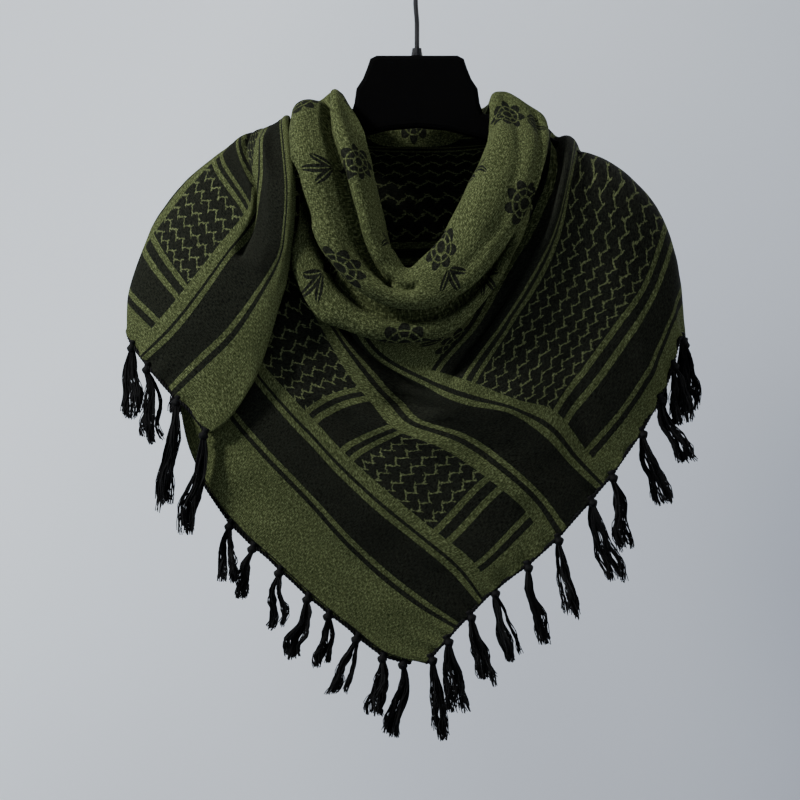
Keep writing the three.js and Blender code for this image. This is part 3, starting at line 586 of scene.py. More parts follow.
def clothMesh(name, grid, u, v, material, flip, closed=False, lifts=None, skip=None):
    # lifts: how far each point stands out, in mm; skip: 1 where the cloth has no quad
    normals = gridNormals(grid, flip, closed)
    if lifts is not None:
        grid = grid + normals * lifts[..., None]
        normals = gridNormals(grid, flip, closed)
    rows, columns = u.shape
    inner = grid - normals * form["thickness"]
    points = np.concatenate([grid.reshape(-1, 3), inner.reshape(-1, 3)]) * mm
    under = rows * columns
    i, j = np.meshgrid(range(rows if closed else rows - 1), range(columns - 1), indexing="ij")
    if skip is not None:
        keep = ~skip[:i.shape[0], :i.shape[1]]
        i, j = i[keep], j[keep]
    i, j = i.ravel(), j.ravel()
    a = i * columns + j
    b = (i + 1) % rows * columns + j
    quads = np.stack([a, b, b + 1, a + 1], axis=1)
    if flip:
        quads = quads[:, ::-1]
    edges = {(p, q) for quad in quads.tolist() for p, q in zip(quad, quad[1:] + quad[:1])}
    rims = [(p, q) for p, q in edges if (q, p) not in edges]
    rims.sort()
    walls = [(q, p, under + p, under + q) for p, q in rims]
    faces = quads.tolist() + (quads[:, ::-1] + under).tolist() + walls
    used = np.unique(np.concatenate([quads.ravel(), quads.ravel() + under]))
    place = np.full(2 * under, -1)
    place[used] = np.arange(len(used))
    placed = [[int(place[k]) for k in face] for face in faces]
    mesh = makeMesh(name, points[used].tolist(), placed, material)
    flat = np.stack([u.ravel(), v.ravel()], axis=1) * mm
    corners = np.array([k for face in faces for k in face])
    flatCorners = flat[corners % under]
    if closed:  # the faces that close the ring go on past its last row
        lastSpan = np.repeat(np.concatenate([i, i, [(p // columns) for p, q in rims]]) == rows - 1, 4)
        turned = lastSpan & (corners % under // columns == 0)
        flatCorners[turned, 0] += (u[-1, 0] - u[-2, 0] + u[-1, 0] - u[0, 0]) * mm
    layer = mesh.uv_layers.new(name="cloth")
    layer.data.foreach_set("uv", flatCorners.ravel())
    mesh.update()
    rimPairs = {frozenset((int(place[p + k]), int(place[q + k]))) for p, q in rims for k in (0, under)}
    for edge in mesh.edges:
        edge.use_edge_sharp = frozenset(edge.vertices) in rimPairs
    return addObject(name, mesh)


def spread(first, last, step):  # even places from first to last, about step apart
    return np.linspace(first, last, max(2, round(abs(last - first) / step) + 1))


# The outer layer: front point, right shoulder, back and the flap over the left shoulder
frontColumns = [0, 41, 89, 140, 195, 232, 266, 330, 390]
flapColumns = [0, 41, 89, 140, 195, 232, 266, 330, 380]
wrap = {
    "step": 3.1,  # mm between the points of the mesh
    "ripple": 1.5,  # mm of slow unevenness, and of fine unevenness
    "rippleSize": 42,
    "fineRipple": 0.45,
    "fineSize": 13,
    "edgeWave": 1.6,  # mm, between the tassels
    "waveLength": 27,
    "waveReach": 16,
    "hiddenTo": 260,  # up to this u the hidden end reaches further in under the neck folds
    "hiddenReach": 0.6,
    "ringTo": 266,  # up to this v the cloth runs all the way round
    "frontTo": 390,
    "flapTo": 380,
    "frontEnd": 432,
    "flapStart": 922,
    "panelStart": 966,
    "panelWidth": 85,
    "blendStart": 640,
    "creases": [  # places on the cloth (u, v), width and rise in mm
        ([(226, 396), (240, 355), (246, 310), (238, 265), (228, 225)], 16, -18),
        ([(236, 240), (226, 170), (222, 110)], 10, -4),
        ([(170, 372), (172, 330), (168, 285)], 16, 4),
        ([(152, 262), (190, 226), (205, 164), (208, 60)], 13, 4),
        ([(140, 330), (150, 290), (158, 240), (165, 180)], 9, -3),
        ([(492, 193), (470, 197), (430, 200), (395, 201), (350, 200)], 8, -3),
        ([(490, 216), (450, 219), (400, 220), (340, 219)], 14, 1.5),
        ([(484, 252), (430, 244), (380, 240), (330, 236), (296, 231)], 11, -12),
        ([(940, 266), (971, 232), (984, 189), (990, 158)], 5, -9),
        ([(985, 306), (1000, 262), (1006, 223), (1012, 165)], 12, 5),
        ([(60, 330), (90, 210), (130, 90), (150, 20)], 22, 2.5),
        ([(30, 250), (50, 150), (70, 60)], 16, -2),
        ([(330, 110), (290, 40)], 12, -2.5), ([(420, 120), (380, 30)], 14, 2.5),
    ],
}
frontNet = netOf(frontRows)
for row, line in zip(frontRows, frontNet):
    if row["u"] < wrap["hiddenTo"]:
        line[-1] += (line[-1] - line[-2]) * wrap["hiddenReach"]
backNet = netOf(backRows)
flapNet = netOf(flapRows)
frontLevels = [row["u"] for row in frontRows]
flapLevels = [pattern["clothSide"] - row["u"] for row in flapRows]
wrapLevels = frontLevels + [row["u"] for row in backRows] + flapLevels[1:]
ringTo, frontEnd, flapStart = wrap["ringTo"], wrap["frontEnd"], wrap["flapStart"]
bodyColumns = spread(0, ringTo, wrap["step"])
extraColumns = spread(ringTo, wrap["frontTo"], wrap["step"])[1:]
shared = len(bodyColumns)


def onRows(net, levels, uAt):  # the net's columns, read at the distances uAt
    return smoothPath(net.transpose(1, 0, 2), levelPlaces(levels, uAt))


def wrapGrid():
    vAt = np.concatenate([bodyColumns, extraColumns])
    uAt = np.concatenate([
        spread(0, frontEnd, wrap["step"]), spread(frontEnd, flapStart, wrap["step"])[1:],
        spread(flapStart, wrapLevels[-1], wrap["step"])[1:]])
    front = onRows(frontNet, frontColumns, vAt)
    back = onRows(backNet, frontColumns[:7], bodyColumns)
    extraOnFlap = (extraColumns - ringTo) * (wrap["flapTo"] - ringTo) / (wrap["frontTo"] - ringTo)
    flap = onRows(flapNet, flapColumns, np.concatenate([bodyColumns, ringTo + extraOnFlap]))
    body = np.concatenate([front[:shared], back, flap[:shared, 1:]], axis=1)
    grid = np.zeros((len(uAt), len(vAt), 3))
    grid[:, :shared] = onRows(body, wrapLevels, uAt)
    early = uAt <= frontEnd + 0.01
    late = uAt >= flapStart - 0.01
    grid[early, shared:] = onRows(front[shared:], frontLevels, uAt[early])
    grid[late, shared:] = onRows(flap[shared:], flapLevels, uAt[late])
    between = ~(early | late)
    grid[between, shared:] = grid[between, shared - 1:shared]
    v, u = np.meshgrid(vAt, uAt)
    middle = (u >= frontEnd - 0.01) & (u < flapStart - 0.01) & (v >= ringTo - 0.01)
    return grid, u, v, middle


print("outer layer")
banded = clothMaterial("scarfCloth", True)
plainField = clothMaterial("scarfField", False)
wrapPoints, wrapU, wrapV, wrapSkip = wrapGrid()


def flatU(grid, u):  # the weave's own u: true lengths where the cloth comes over the left shoulder
    gaps = np.linalg.norm(np.diff(grid, axis=0), axis=-1)
    length = np.concatenate([np.zeros((1, grid.shape[1])), np.cumsum(gaps, axis=0)])
    base = np.argmin(np.abs(u[:, 0] - wrap["panelStart"]))
    true = wrap["panelStart"] - (length[base] - length)
    first = np.argmin(np.abs(u[:, 0] - wrap["blendStart"]))
    panel = wrap["panelStart"] - wrap["panelWidth"]  # the panel keeps its lengths, the rest makes up
    rest = wrap["blendStart"] + (true - true[first]) * (panel - wrap["blendStart"]) / (panel - true[first])
    mixed = np.where(true > panel, true, rest)
    inside = (np.arange(len(u)) >= first) & (np.arange(len(u)) <= base)
    return np.where(inside[:, None], mixed, u)


wrapFlat = flatU(wrapPoints, wrapU)
wrapLifts = creaseHeights(wrapU, wrapV, wrap["creases"])
wrapLifts += ripple(wrapU, wrapV, wrap["rippleSize"], 1) * wrap["ripple"]
wrapLifts += ripple(wrapU, wrapV, wrap["fineSize"], 2) * wrap["fineRipple"]
edgeWaves = np.sin(wrapU * 2 * math.pi / wrap["waveLength"]) * np.exp(-wrapV / wrap["waveReach"])
wrapLifts += edgeWaves * wrap["edgeWave"]
wrapPiece = clothMesh("outerLayer", wrapPoints, wrapFlat, wrapV, banded, False,
                      lifts=wrapLifts, skip=wrapSkip)
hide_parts("front_drape", "right_shoulder", "back_drape", "shoulder_flap")
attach(wrapPiece, "root")

# The lower layer's edge, just behind the left hem
lower = {
    "reach": 3,  # out past the hem, and in under the front
    "width": 41,
    "behind": 2.8,
    "from": 12,
    "to": 300,
    "step": 3,
    "bandShift": 20,  # the bands start this far along
    "normalsTo": 50,
    "normalStep": 5,
}


def lowerGrid():
    inside = spread(-lower["reach"], lower["width"], lower["step"])
    vAt = spread(lower["from"], lower["to"], lower["step"])
    front = onRows(frontNet, frontColumns, vAt)
    onSheet = onRows(front, frontLevels, np.maximum(inside, 0))
    way = onSheet[0] - onRows(front, frontLevels, [1.0])[0]
    way /= np.linalg.norm(way, axis=1, keepdims=True)
    coarse = onRows(front, frontLevels, spread(0, lower["normalsTo"], lower["normalStep"]))
    normal = gridNormals(coarse, False)[1]
    grid = onSheet + way * np.maximum(-inside, 0)[:, None, None] - normal * lower["behind"]
    v, u = np.meshgrid(vAt, inside)
    return grid, u + lower["reach"], v


lowerPoints, lowerU, lowerV = lowerGrid()
lowerPiece = clothMesh("lowerLayer", lowerPoints, lowerV + lower["bandShift"], lowerU, banded, False)
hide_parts("under_layer")
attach(lowerPiece, "root")

# The two folds at the neck
fold = {
    "step": 2.0,
    "ripple": 1.3,
    "rippleSize": 26,
    "cowlFrom": (300, 300),
    "rollFrom": (315, 286),
    "rollCreases": [
        ([(312, 326), (360, 328), (407, 329), (463, 326), (511, 327), (538, 328)], 3.0, -18),
        ([(538, 328), (560, 331)], 5, -7),
        ([(320, 316), (407, 318), (463, 315), (511, 316)], 7, 3),
        ([(312, 358), (349, 356), (369, 356), (397, 358)], 15, 6),
        ([(470, 363), (540, 363), (600, 362), (670, 357)], 8, 3.5),
        ([(325, 347), (420, 352), (500, 352), (580, 352), (640, 350)], 9, 3),
        ([(806, 312), (760, 322), (720, 333), (658, 345), (600, 345)], 8, -3.5),
        ([(800, 345), (740, 352), (690, 356), (640, 358)], 5, -4),
        ([(780, 300), (720, 308), (650, 318)], 9, 2),
    ],
    "cowlCreases": [
        ([(330, 366), (392, 366), (430, 366), (475, 370)], 13, -7),
        ([(378, 356), (412, 358), (438, 358)], 15, 9),
        ([(342, 336), (366, 324), (408, 319), (450, 321), (499, 326), (532, 328), (587, 333),
          (633, 343)], 7, -20),
    ],
}


def lengthsAlong(points):  # running length along the rows of points
    gaps = np.linalg.norm(np.diff(points, axis=0), axis=-1)
    return np.concatenate([[0], np.cumsum(gaps)])


def foldGrid(rows, start, closed, crest):
    net = netOf(rows)
    around = len(rows) if closed else len(rows) - 1
    length = lengthsAlong(smoothGrid(net, np.linspace(0, around, 200), [crest], closed)[:, 0])[-1]
    count = round(length / fold["step"])
    rowsAt = np.linspace(0, around, count + 1)
    if closed:
        rowsAt = rowsAt[:-1]
    width = lengthsAlong(net[len(net) // 2])[-1]
    columnsAt = np.linspace(0, net.shape[1] - 1, round(width / fold["step"]) + 1)
    grid = smoothGrid(net, rowsAt, columnsAt, closed)
    u = lengthsAlong(grid[:, round(crest / (net.shape[1] - 1) * (len(columnsAt) - 1))])
    v = np.stack([lengthsAlong(line) for line in grid]).mean(axis=0)
    v, u = np.meshgrid(v + start[1], u + start[0])
    return grid, u, v


def makeFold(name, rows, start, creases, closed, crest, seed):
    points, u, v = foldGrid(rows, start, closed, crest)
    lifts = creaseHeights(u, v, creases) + ripple(u, v, fold["rippleSize"], seed) * fold["ripple"]
    return clothMesh(name, points, u, v, plainField, True, closed=closed, lifts=lifts)


print("neck folds")
cowlPiece = makeFold("cowlFold", cowlRows, fold["cowlFrom"], fold["cowlCreases"], False, 2, 5)
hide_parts("cowl")
rollPiece = makeFold("neckFold", rollRows, fold["rollFrom"], fold["rollCreases"], True, 3, 9)
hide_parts("neck_roll", "neck_roll_back")
for piece, size in ((cowlPiece, (0.33, 0.065)), (rollPiece, (0.60, 0.115))):
    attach(piece, "root")


# What Geometry Nodes make starts here
def newTree(name, inputs):
    tree = bpy.data.node_groups.new(name, "GeometryNodeTree")
    tree.interface.new_socket("Geometry", in_out="INPUT", socket_type="NodeSocketGeometry")
    for label, kind, value in inputs:
        socket = tree.interface.new_socket(label, in_out="INPUT", socket_type=f"NodeSocket{kind}")
        if value is not None:
            socket.default_value = value
    tree.interface.new_socket("Geometry", in_out="OUTPUT", socket_type="NodeSocketGeometry")
    entry = Wire(tree).node("NodeGroupInput")
    return tree, {item.name: entry.other(i) for i, item in enumerate(
        item for item in tree.interface.items_tree if item.in_out == "INPUT")}


def closeTree(tree, geometry, material):
    real = geometry.node("GeometryNodeRealizeInstances", None, {0: geometry})
    done = geometry.node("GeometryNodeSetMaterial", None, {0: real, "Material": material})
    ending = tree.nodes.new("NodeGroupOutput")
    tree.links.new(done.socket, ending.inputs[0])


def grow(name, source, tree, values):  # runs the tree on source and keeps the result as a plain mesh
    modifier = source.modifiers.new("grow", "NODES")
    modifier.node_group = tree
    for item in tree.interface.items_tree:
        if item.in_out == "INPUT" and item.name in values:
            modifier[item.identifier] = values[item.name]
    bpy.context.view_layer.update()
    grown = source.evaluated_get(bpy.context.evaluated_depsgraph_get())
    mesh = bpy.data.meshes.new_from_object(grown)
    source.modifiers.clear()
    bpy.data.objects.remove(source)
    mesh.name = name
    mesh.polygons.foreach_set("use_smooth", [True] * len(mesh.polygons))
    return addObject(name, mesh)


def sourceMesh(points, edges=(), **attributes):  # metres
    mesh = bpy.data.meshes.new("source")
    mesh.from_pydata([tuple(p) for p in points], list(edges), [])
    for label, values in attributes.items():
        whole = isinstance(values[0], int)
        layer = mesh.attributes.new(label, "INT" if whole else "FLOAT_VECTOR", "POINT")
        layer.data.foreach_set("value" if whole else "vector", np.array(values).ravel())
    return addObject("source", mesh)


def attribute(wire, label, kind="FLOAT_VECTOR"):
    return wire.node("GeometryNodeInputNamedAttribute", {"data_type": kind}, {"Name": label})


def vectorSum(wire, operation, *values, output=0):
    return wire.node("ShaderNodeVectorMath", {"operation": operation}, dict(enumerate(values)), output)


def scaled(wire, vector, factor):
    return wire.node("ShaderNodeVectorMath", {"operation": "SCALE"}, {0: vector, "Scale": factor})


# Tassels: every one a knot, and locks of yarn below it
yarn = {
    "base": (0.0004, 0.0004, 0.0004, 1),
    "light": (0.0030, 0.0030, 0.0032, 1),
    "roughness": 0.75,
    "specular": 0.12,
    "fibreScale": 900,
    "relief": 0.5,
    "reliefDepth": 0.0004,
}
tassel = {
    "locks": 7,
    "strands": 105,  # to a tassel
    "yarnWidth": 0.00098,
    "lockSpread": 0.0076,
    "strandSpread": 0.0023,
    "wave": 0.0016,
    "bend": 0.0034,
    "strandStart": 0.5,  # of the strand spread, at the knot
    "lockStart": 0.0018,
    "ease": 2.3,  # how fast the locks part
    "mixedLengths": (0.05, 0.22, 0.96),  # by strand and by lock, around the middle length
    "bendTurn": 5.5,  # radians from knot to tip
    "strandTurn": 14,
    "lockTurn": 11,
    "turnShift": 3.1,
    "lockWave": 1.5,  # as much again as the strands' waves
    "yarnPoints": 12,
    "knotWidth": 0.0092,
    "knotLength": 0.0120,
    "knotSwell": (0.34, 0.72, 0.95, 1.0, 0.86, 0.62, 0.58, 0.7, 0.62),
    "knotSides": 12,
    "knotMiddle": 0.45,
    "knotWind": (0.10, 3, 7),  # how deep, how many turns around and down
    "knotOut": 3.6,  # mm out of the cloth's edge
    "knotLean": 0.5,
    "rootDrop": 3.0,  # the yarns start this far below the knot's middle
    "keys": (40, 400, 50),  # random keys to a knot for its locks and its strands, and knots to a side
}


def yarnMaterial():
    material, start = newMaterial("blackYarn")
    fibre = speckle(start, objectPlace(start), yarn["fibreScale"])
    colour = mixColour(start, fibre, yarn["base"], yarn["light"])
    bump = relief(start, fibre, yarn["relief"], yarn["reliefDepth"])
    clothShader(start, colour, yarn["roughness"], bump, yarn["specular"])
    return material


def strandTree(material):
    tree, given = newTree("tasselStrands", [
        ("Strands", "Int", 40), ("Locks", "Int", 6), ("Yarn width", "Float", 0.001),
        ("Lock spread", "Float", 0.006), ("Strand spread", "Float", 0.002), ("Wave", "Float", 0.001),
        ("Bend", "Float", 0.003), ("Seed", "Int", 1)])
    wire = given["Geometry"]
    points = wire.node("GeometryNodeMeshToPoints", None, {0: wire})
    many = wire.node("GeometryNodeDuplicateElements", {"domain": "POINT"}, {
        0: points, "Amount": given["Strands"]})
    stored = wire.node("GeometryNodeStoreNamedAttribute", {"data_type": "INT", "domain": "POINT"},
                       {0: many, "Name": "strand", "Value": many.other(1)})
    line = wire.node("GeometryNodeCurvePrimitiveLine", None, {"End": (0, 0, -1)})
    line = wire.node("GeometryNodeResampleCurve", None, {
        0: line, "Count": tassel["yarnPoints"]})
    lines = wire.node("GeometryNodeInstanceOnPoints", None, {0: stored, "Instance": line})
    lines = wire.node("GeometryNodeRealizeInstances", None, {0: lines})
    root, drop = attribute(wire, "root"), attribute(wire, "drop")
    knot = attribute(wire, "knot", "INT")
    strand = attribute(wire, "strand", "INT")
    along = wire.node("GeometryNodeSplineParameter")
    lock = strand.sum("MODULO", strand, given["Locks"])
    lockKey, strandKey = knot * tassel["keys"][0] + lock, knot * tassel["keys"][1] + strand

    def draw(key, low, high, shift):  # one fixed random vector for each key
        return wire.node("FunctionNodeRandomValue", {"data_type": "FLOAT_VECTOR"},
                         {0: low, 1: high, "ID": key, "Seed": given["Seed"] + shift})

    def moved(place, way, size):
        return vectorSum(wire, "ADD", place, scaled(wire, way, size))

    def level(vector):
        flat = wire.node("ShaderNodeCombineXYZ", None, {"X": 1.0, "Y": 1.0, "Z": 0.0})
        return vectorSum(wire, "MULTIPLY", vector, flat)

    def sine(value):
        return value.sum("SINE", value)

    lockSide = draw(lockKey, (-1, -1, -0.3), (1, 1, 0.3), 0)
    strandSide = draw(strandKey, (-1, -1, -1), (1, 1, 1), 1)
    waveSide = draw(strandKey, (-1, -1, 0), (1, 1, 0), 2)
    lockWave = draw(lockKey, (-1, -1, 0), (1, 1, 0), 3)
    bendSide = draw(knot, (-1, -1, 0), (1, 1, 0), 4)
    cut = wire.node("ShaderNodeSeparateXYZ", None, {0: strandSide})
    lockCut = wire.node("ShaderNodeSeparateXYZ", None, {0: lockSide})
    byStrand, byLock, usual = tassel["mixedLengths"]
    reach = along * (cut.other(2) * byStrand + lockCut.other(2) * byLock + usual)
    ease = 1 - along.sum("POWER", 1 - along, tassel["ease"])
    turn = along * tassel["strandTurn"] + cut * tassel["turnShift"]
    lockTurn = along * tassel["lockTurn"] + lockCut * tassel["turnShift"]
    first = tassel["strandStart"]
    strandReach = (along * (1 - first) + first) * given["Strand spread"]
    place = moved(root, drop, reach)
    place = moved(place, level(lockSide), ease * given["Lock spread"] + tassel["lockStart"])
    place = moved(place, bendSide, sine(along * tassel["bendTurn"]) * given["Bend"])
    place = moved(place, level(strandSide), strandReach)
    place = moved(place, waveSide, sine(turn) * ease * given["Wave"])
    place = moved(place, lockWave, sine(lockTurn) * ease * given["Wave"] * tassel["lockWave"])
    lines = wire.node("GeometryNodeSetPosition", None, {0: lines, "Position": place})
    ring = wire.node("GeometryNodeCurvePrimitiveCircle", None, {
        "Resolution": 3, "Radius": given["Yarn width"] * 0.5})
    mesh = wire.node("GeometryNodeCurveToMesh", None, {0: lines, 1: ring, "Fill Caps": True})
    closeTree(tree, mesh, material)
    return tree


def knotMesh(centres, ways, material, name):  # wound knots, thickest in the middle, on the given axes
    rings, sides = len(tassel["knotSwell"]), tassel["knotSides"]
    depth, around, down = tassel["knotWind"]
    points, faces = [], []
    for centre, way in zip(centres, ways):
        way = Vector(way).normalized()
        side = way.orthogonal().normalized()
        other = way.cross(side)
        first = len(points)
        for i in range(rings):
            t = i / (rings - 1)
            radius = tassel["knotWidth"] / 2 * tassel["knotSwell"][i]
            for k in range(sides):
                angle = 2 * math.pi * k / sides
                wound = 1 + depth * math.sin(around * angle + down * t)
                out = (side * math.cos(angle) + other * math.sin(angle)) * (radius * wound)
                middle = Vector(centre) + way * ((t - tassel["knotMiddle"]) * tassel["knotLength"])
                points.append(middle + out)
        for i in range(rings - 1):
            for k in range(sides):
                a, b = first + i * sides + k, first + i * sides + (k + 1) % sides
                faces.append((a, b, b + sides, a + sides))
        faces.append(tuple(first + k for k in reversed(range(sides))))
        faces.append(tuple(first + (rings - 1) * sides + k for k in range(sides)))
    return addObject(name, makeMesh(name, points, faces, material))


def edgeFrame(grid, normals, line):  # an edge's points, the ways out of the cloth there and its face
    edge = grid[:, 0] if line == "column" else grid[0]
    inside = grid[:, 1] if line == "column" else grid[1]
    face = normals[:, 0] if line == "column" else normals[0]
    out = edge - inside
    return edge, out / np.linalg.norm(out, axis=1, keepdims=True), face


wrapFaces = gridNormals(wrapPoints, False)
fringedEdge = edgeFrame(wrapPoints, wrapFaces, "column")
lowerFaces = gridNormals(lowerPoints, False)
lowerEdge = edgeFrame(lowerPoints, lowerFaces, "row")


def edgeAt(levels, frameOf, distance):
    return [np.array([np.interp(distance, levels, part[:, k]) for k in range(3)]) for part in frameOf]


blackYarn = yarnMaterial()
strands = strandTree(blackYarn)


def makeFringe(side, levels, frameOf, seed):
    rows = fringes[side]
    roots, drops, centres, ways = [], [], [], []
    for distance, swing, length, *lean in rows:
        at, out, face = edgeAt(levels, frameOf, distance)
        centre = at - face * (form["thickness"] / 2) + out * tassel["knotOut"]
        drop = np.array([swing, lean[0] if lean else 0, -length], float)
        way = drop / np.linalg.norm(drop) + out * tassel["knotLean"]
        centres.append(centre * mm)
        ways.append(-way)
        roots.append((centre - np.array([0, 0, tassel["rootDrop"]])) * mm)
        drops.append(drop * mm)
    keys = [seed * tassel["keys"][2] + i for i in range(len(rows))]
    nodes = [f"tassel_{side}_{i + 1:02d}" for i in range(len(rows))]
    source = sourceMesh(roots, root=roots, drop=drops, knot=keys)
    yarns = grow(f"{side}Yarns", source, strands, {
        "Strands": tassel["strands"], "Locks": tassel["locks"], "Yarn width": tassel["yarnWidth"],
        "Lock spread": tassel["lockSpread"], "Strand spread": tassel["strandSpread"],
        "Wave": tassel["wave"], "Bend": tassel["bend"], "Seed": seed})
    knots = knotMesh(centres, ways, blackYarn, f"{side}Knots")
    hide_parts(*nodes)
    for piece in (yarns, knots):
        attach(piece, "root")


print("tassels")
wrapLevelsAt = wrapU[:, 0]
for seed, side in enumerate(("right", "back", "flap"), 1):
    makeFringe(side, wrapLevelsAt, fringedEdge, seed)
makeFringe("hem", lowerV[0], lowerEdge, 4)

# The black cord along the fringed edges, and the stitched plain hems
edging = {
    "cordWidth": 0.0038,
    "cordPitch": 0.0072,
    "cordStep": 0.22,  # of the pitch
    "plyRadius": 0.3,  # of the cord's width, and how far each ply's middle stands out
    "plyOut": 0.26,
    "fringedOut": 0.5,  # mm out of the edge
    "lowerOut": 0.4,
    "sag": 0.8,  # mm at a tassel, over this reach
    "sagReach": 7,
    "stitch": 0.0024,
    "stitchLength": 0.0034,
    "stitchWidth": 0.0009,
    "stitchLean": 0.35,
    "hemWidth": 0.0012,
    "hemPitch": 0.003,
}


def cordTree(material):
    tree, given = newTree("twistedCord", [("Width", "Float", 0.002), ("Pitch", "Float", 0.005)])
    wire = given["Geometry"]
    curve = wire.node("GeometryNodeMeshToCurve", None, {0: wire})
    curve = wire.node("GeometryNodeResampleCurve", {"mode": "LENGTH"}, {
        0: curve, "Length": given["Pitch"] * edging["cordStep"]})
    along = wire.node("GeometryNodeSplineParameter", output=1)
    tangent = wire.node("GeometryNodeInputTangent")
    normal = wire.node("GeometryNodeInputNormal")
    side = vectorSum(wire, "CROSS_PRODUCT", tangent, normal)
    ring = wire.node("GeometryNodeCurvePrimitiveCircle", None, {
        "Resolution": 6, "Radius": given["Width"] * edging["plyRadius"]})
    plyOut = given["Width"] * edging["plyOut"]
    joined = wire.node("GeometryNodeJoinGeometry")
    for k in range(2):
        turn = along / given["Pitch"] * (2 * math.pi) + math.pi * k
        offset = vectorSum(wire, "ADD", scaled(wire, normal, turn.sum("COSINE", turn) * plyOut),
                           scaled(wire, side, turn.sum("SINE", turn) * plyOut))
        ply = wire.node("GeometryNodeSetPosition", None, {0: curve, "Offset": offset})
        ply = wire.node("GeometryNodeCurveToMesh", None, {0: ply, 1: ring, "Fill Caps": True})
        tree.links.new(ply.socket, joined.socket.node.inputs[0])
    closeTree(tree, joined, material)
    return tree


def stitchTree(material):
    tree, given = newTree("overlock", [
        ("Spacing", "Float", 0.002), ("Stitch length", "Float", 0.003), ("Stitch width", "Float", 0.0008),
        ("Lean", "Float", 0.4)])
    wire = given["Geometry"]
    curve = wire.node("GeometryNodeMeshToCurve", None, {0: wire})
    spots = wire.node("GeometryNodeCurveToPoints", {"mode": "LENGTH"}, {
        0: curve, "Length": given["Spacing"]})
    bar = wire.node("GeometryNodeMeshCylinder", None, {
        "Vertices": 6, "Radius": given["Stitch width"] * 0.5, "Depth": given["Stitch length"]})
    turned = wire.node("FunctionNodeEulerToRotation", None, {0: wire.node(
        "ShaderNodeCombineXYZ", None, {"X": 0.0, "Y": given["Lean"] + math.pi / 2, "Z": 0.0})})
    bar = wire.node("GeometryNodeTransform", None, {0: bar, "Rotation": turned})
    bars = wire.node("GeometryNodeInstanceOnPoints", None, {
        0: spots, "Instance": bar, "Rotation": spots.other(3)})
    closeTree(tree, bars, material)
    return tree


def edgeLine(points):
    return sourceMesh(points, [(k, k + 1) for k in range(len(points) - 1)])


print("edging")
cords, stitches = cordTree(blackYarn), stitchTree(blackYarn)


def makeCord(name, frameOf, levels, sides, out):
    edge, way, face = frameOf
    sag = np.zeros(len(levels))
    for side in sides:
        for distance, *_ in fringes[side]:
            sag += np.exp(-((levels - distance) / edging["sagReach"]) ** 2)
    path = (edge + way * (out + sag * edging["sag"])[:, None] - face * (form["thickness"] / 2)) * mm
    piece = grow(name, edgeLine(path), cords, {"Width": edging["cordWidth"], "Pitch": edging["cordPitch"]})
    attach(piece, "root")


makeCord("fringedEdgeCord", fringedEdge, wrapLevelsAt, ("right", "back", "flap"), edging["fringedOut"])
makeCord("lowerEdgeCord", lowerEdge, lowerV[0], ("hem",), edging["lowerOut"])


def makeHem(name, points, face):
    line = (points - face * (form["thickness"] / 2)) * mm
    thread = grow(name + "Thread", edgeLine(line), cords, {
        "Width": edging["hemWidth"], "Pitch": edging["hemPitch"]})
    bars = grow(name + "Stitches", edgeLine(line), stitches, {
        "Spacing": edging["stitch"], "Stitch length": edging["stitchLength"],
        "Stitch width": edging["stitchWidth"], "Lean": edging["stitchLean"]})
    for piece in (thread, bars):
        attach(piece, "root")


makeHem("frontHem", wrapPoints[0], wrapFaces[0])
makeHem("flapHem", wrapPoints[-1], wrapFaces[-1])


# The hanger keeps its solids
flock = {
    "dark": (0.0003, 0.0003, 0.0003, 1),
    "light": (0.0009, 0.0009, 0.0010, 1),
    "roughness": 0.95,
    "specular": 0.06,
    "napScale": 1600,
    "brushScale": 60,
    "relief": 0.6,
    "reliefDepth": 0.0004,
}
hook = {
    "dark": (0.010, 0.010, 0.011, 1),
    "light": (0.035, 0.035, 0.037, 1),
    "roughness": 0.28,  # at least, and how much it varies
    "roughnessRange": 0.2,
    "metallic": 0.9,
    "drawnScale": 900,
}


def flockMaterial():
    material, start = newMaterial("blackFlock")
    place = objectPlace(start)
    nap = speckle(start, place, flock["napScale"])
    brushed = speckle(start, place, flock["brushScale"])
    colour = mixColour(start, nap * 0.7 + brushed * 0.4, flock["dark"], flock["light"])
    bump = relief(start, nap, flock["relief"], flock["reliefDepth"])
    clothShader(start, colour, flock["roughness"], bump, flock["specular"])
    return material


def hookMaterial():
    material, start = newMaterial("hookSteel")
    drawn = speckle(start, mapped(start, objectPlace(start), Scale=(1, 1, 0.1)), hook["drawnScale"])
    colour = mixColour(start, drawn, hook["dark"], hook["light"])
    shader = start.node("ShaderNodeBsdfPrincipled", None, {
        "Base Color": colour, "Roughness": drawn * hook["roughnessRange"] + hook["roughness"],
        "Metallic": hook["metallic"]})
    finishMaterial(start, shader)
    return material


for node, material in (("hanger_board", flockMaterial()), ("hook", hookMaterial())):
    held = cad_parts[node]
    held.data.materials.clear()
    held.data.materials.append(material)

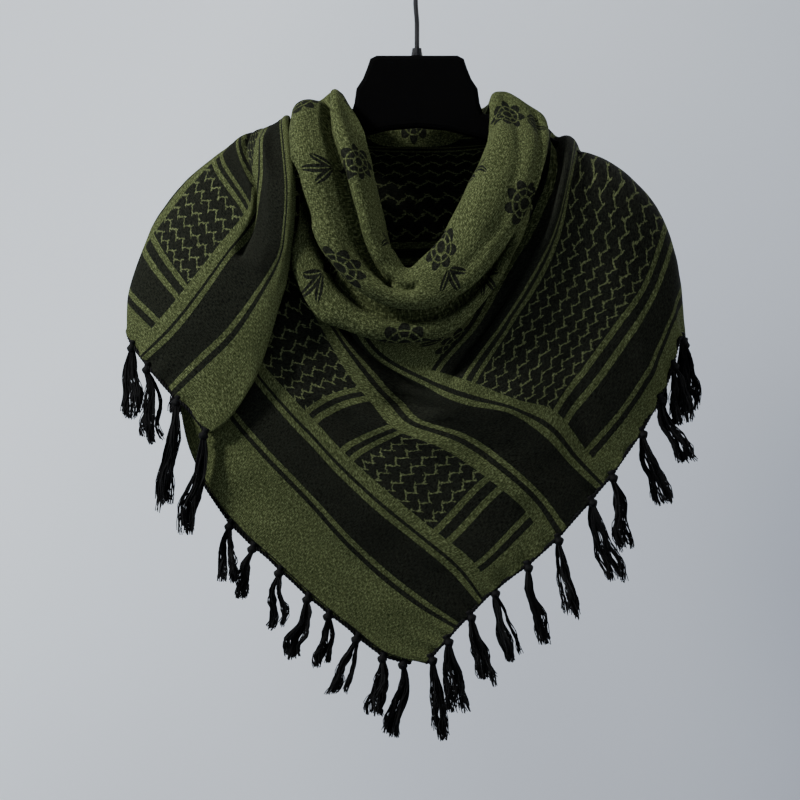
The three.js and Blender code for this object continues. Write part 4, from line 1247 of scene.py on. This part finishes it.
# Backdrop, light and camera
stage = {
    "light": (0.64, 0.68, 0.72, 1),  # the wall's painted light and shade: its lit tone at the upper left, and its shaded tone at the lower right
    "dark": (0.27, 0.29, 0.33, 1),
    "paintedShadeSlope": (0.42, -0.22, 0.5, 0.10),  # of that painted shade: across, up, by the clouds, and to start with
    "cloudScale": 0.7,
    "roughness": 0.9,
    "floorAt": -2.7,
    "radius": 4.5,
    "height": 5,
    "bend": 1.0,
    "bendSteps": 8,
    "sides": 64,
    "glow": 0.85,  # painted light, a glow that is no lamp: of the wall behind, and of the rest of the room
    "dimGlow": 0.12,
    "glowRise": (0.5, -0.6),  # from the room to the wall, to a metre and at the middle
    "lampsAt": (0, 0, -0.4),  # what they shine at
    "lamps": [  # name, place, size, power
        ("keyLight", (-2.35, -1.15, 1.45), 0.45, 166),
        ("fillLight", (2.6, -1.1, 0.1), 1.2, 31),
        ("topLight", (-0.2, -0.5, 1.5), 0.9, 8),
        ("backLight", (1.5, 2.2, 1.0), 1.2, 20),
    ],
    "sky": 0.04,
    "skyColour": (0.93, 0.95, 1, 1),
    "cameraAt": (-0.016, -2.56, -0.439),
    "sensor": 36,
    "lens": 36 * 2500 / 736,  # the photo is 736 mm wide, 2500 mm from the camera
}


def paintedLightSweepMaterial():
    material, start = newMaterial("paintedLightSweep")
    place = objectPlace(start)
    cut = start.node("ShaderNodeSeparateXYZ", None, {0: place})
    across, up, clouds, first = stage["paintedShadeSlope"]
    cloud = speckle(start, place, stage["cloudScale"], 1.0)
    # painted light and shade: the wall is lit at its upper left and shaded towards its lower right
    paintedShadeSlope = clamped(cut * across + cut.other(2) * up + cloud * clouds + first)
    colour = mixColour(start, paintedShadeSlope, stage["light"], stage["dark"])
    # painted light: the sweep glows in its painted colour, most on the wall behind, and so lights the
    # scene like a lamp
    rise, middle = stage["glowRise"]
    far = clamped(cut.other(1) * rise + middle) * (stage["glow"] - stage["dimGlow"]) + stage["dimGlow"]
    glow = mixColour(start, far, (0, 0, 0, 1), colour)
    shader = start.node("ShaderNodeBsdfPrincipled", None, {
        "Base Color": colour, "Roughness": stage["roughness"], "Emission Color": glow,
        "Emission Strength": 1.0})
    finishMaterial(start, shader)
    return material


def makeSweep():  # a round studio, so that every view has a pale ground
    sides, radius, bend, floorAt = stage["sides"], stage["radius"], stage["bend"], stage["floorAt"]
    profile = [(0.001, floorAt), (1.5, floorAt)]
    for k in range(stage["bendSteps"] + 1):
        angle = math.pi / 2 * k / stage["bendSteps"]
        profile.append((radius - bend + bend * math.sin(angle), floorAt + bend - bend * math.cos(angle)))
    profile.append((radius, stage["height"]))
    angles = [2 * math.pi * k / sides for k in range(sides)]
    points = [(r * math.cos(a), r * math.sin(a), z) for r, z in profile for a in angles]
    faces = []
    for i in range(len(profile) - 1):
        for k in range(sides):
            a, b = i * sides + k, i * sides + (k + 1) % sides
            faces.append((a, b, b + sides, a + sides))
    sweep = addObject("sweep", makeMesh("sweep", points, faces, paintedLightSweepMaterial()))


def addLamp(name, place, size, power):
    lamp = bpy.data.lights.new(name, "AREA")
    lamp.size = size
    lamp.energy = power
    thing = addObject(name, lamp)
    thing.location = place
    way = Vector(stage["lampsAt"]) - Vector(place)
    thing.rotation_euler = way.to_track_quat("-Z", "Y").to_euler()


print("stage")
makeSweep()
for lampValues in stage["lamps"]:
    addLamp(*lampValues)
world = bpy.data.worlds.new("studio")
world.use_nodes = True
background = world.node_tree.nodes["Background"]
background.inputs["Color"].default_value = stage["skyColour"]
background.inputs["Strength"].default_value = stage["sky"]
scene.world = world

camera = bpy.data.cameras.new("camera")
camera.sensor_width = stage["sensor"]
camera.lens = stage["lens"]
view = addObject("camera", camera)
view.location = stage["cameraAt"]
view.rotation_euler = (math.pi / 2, 0, 0)
scene.camera = view
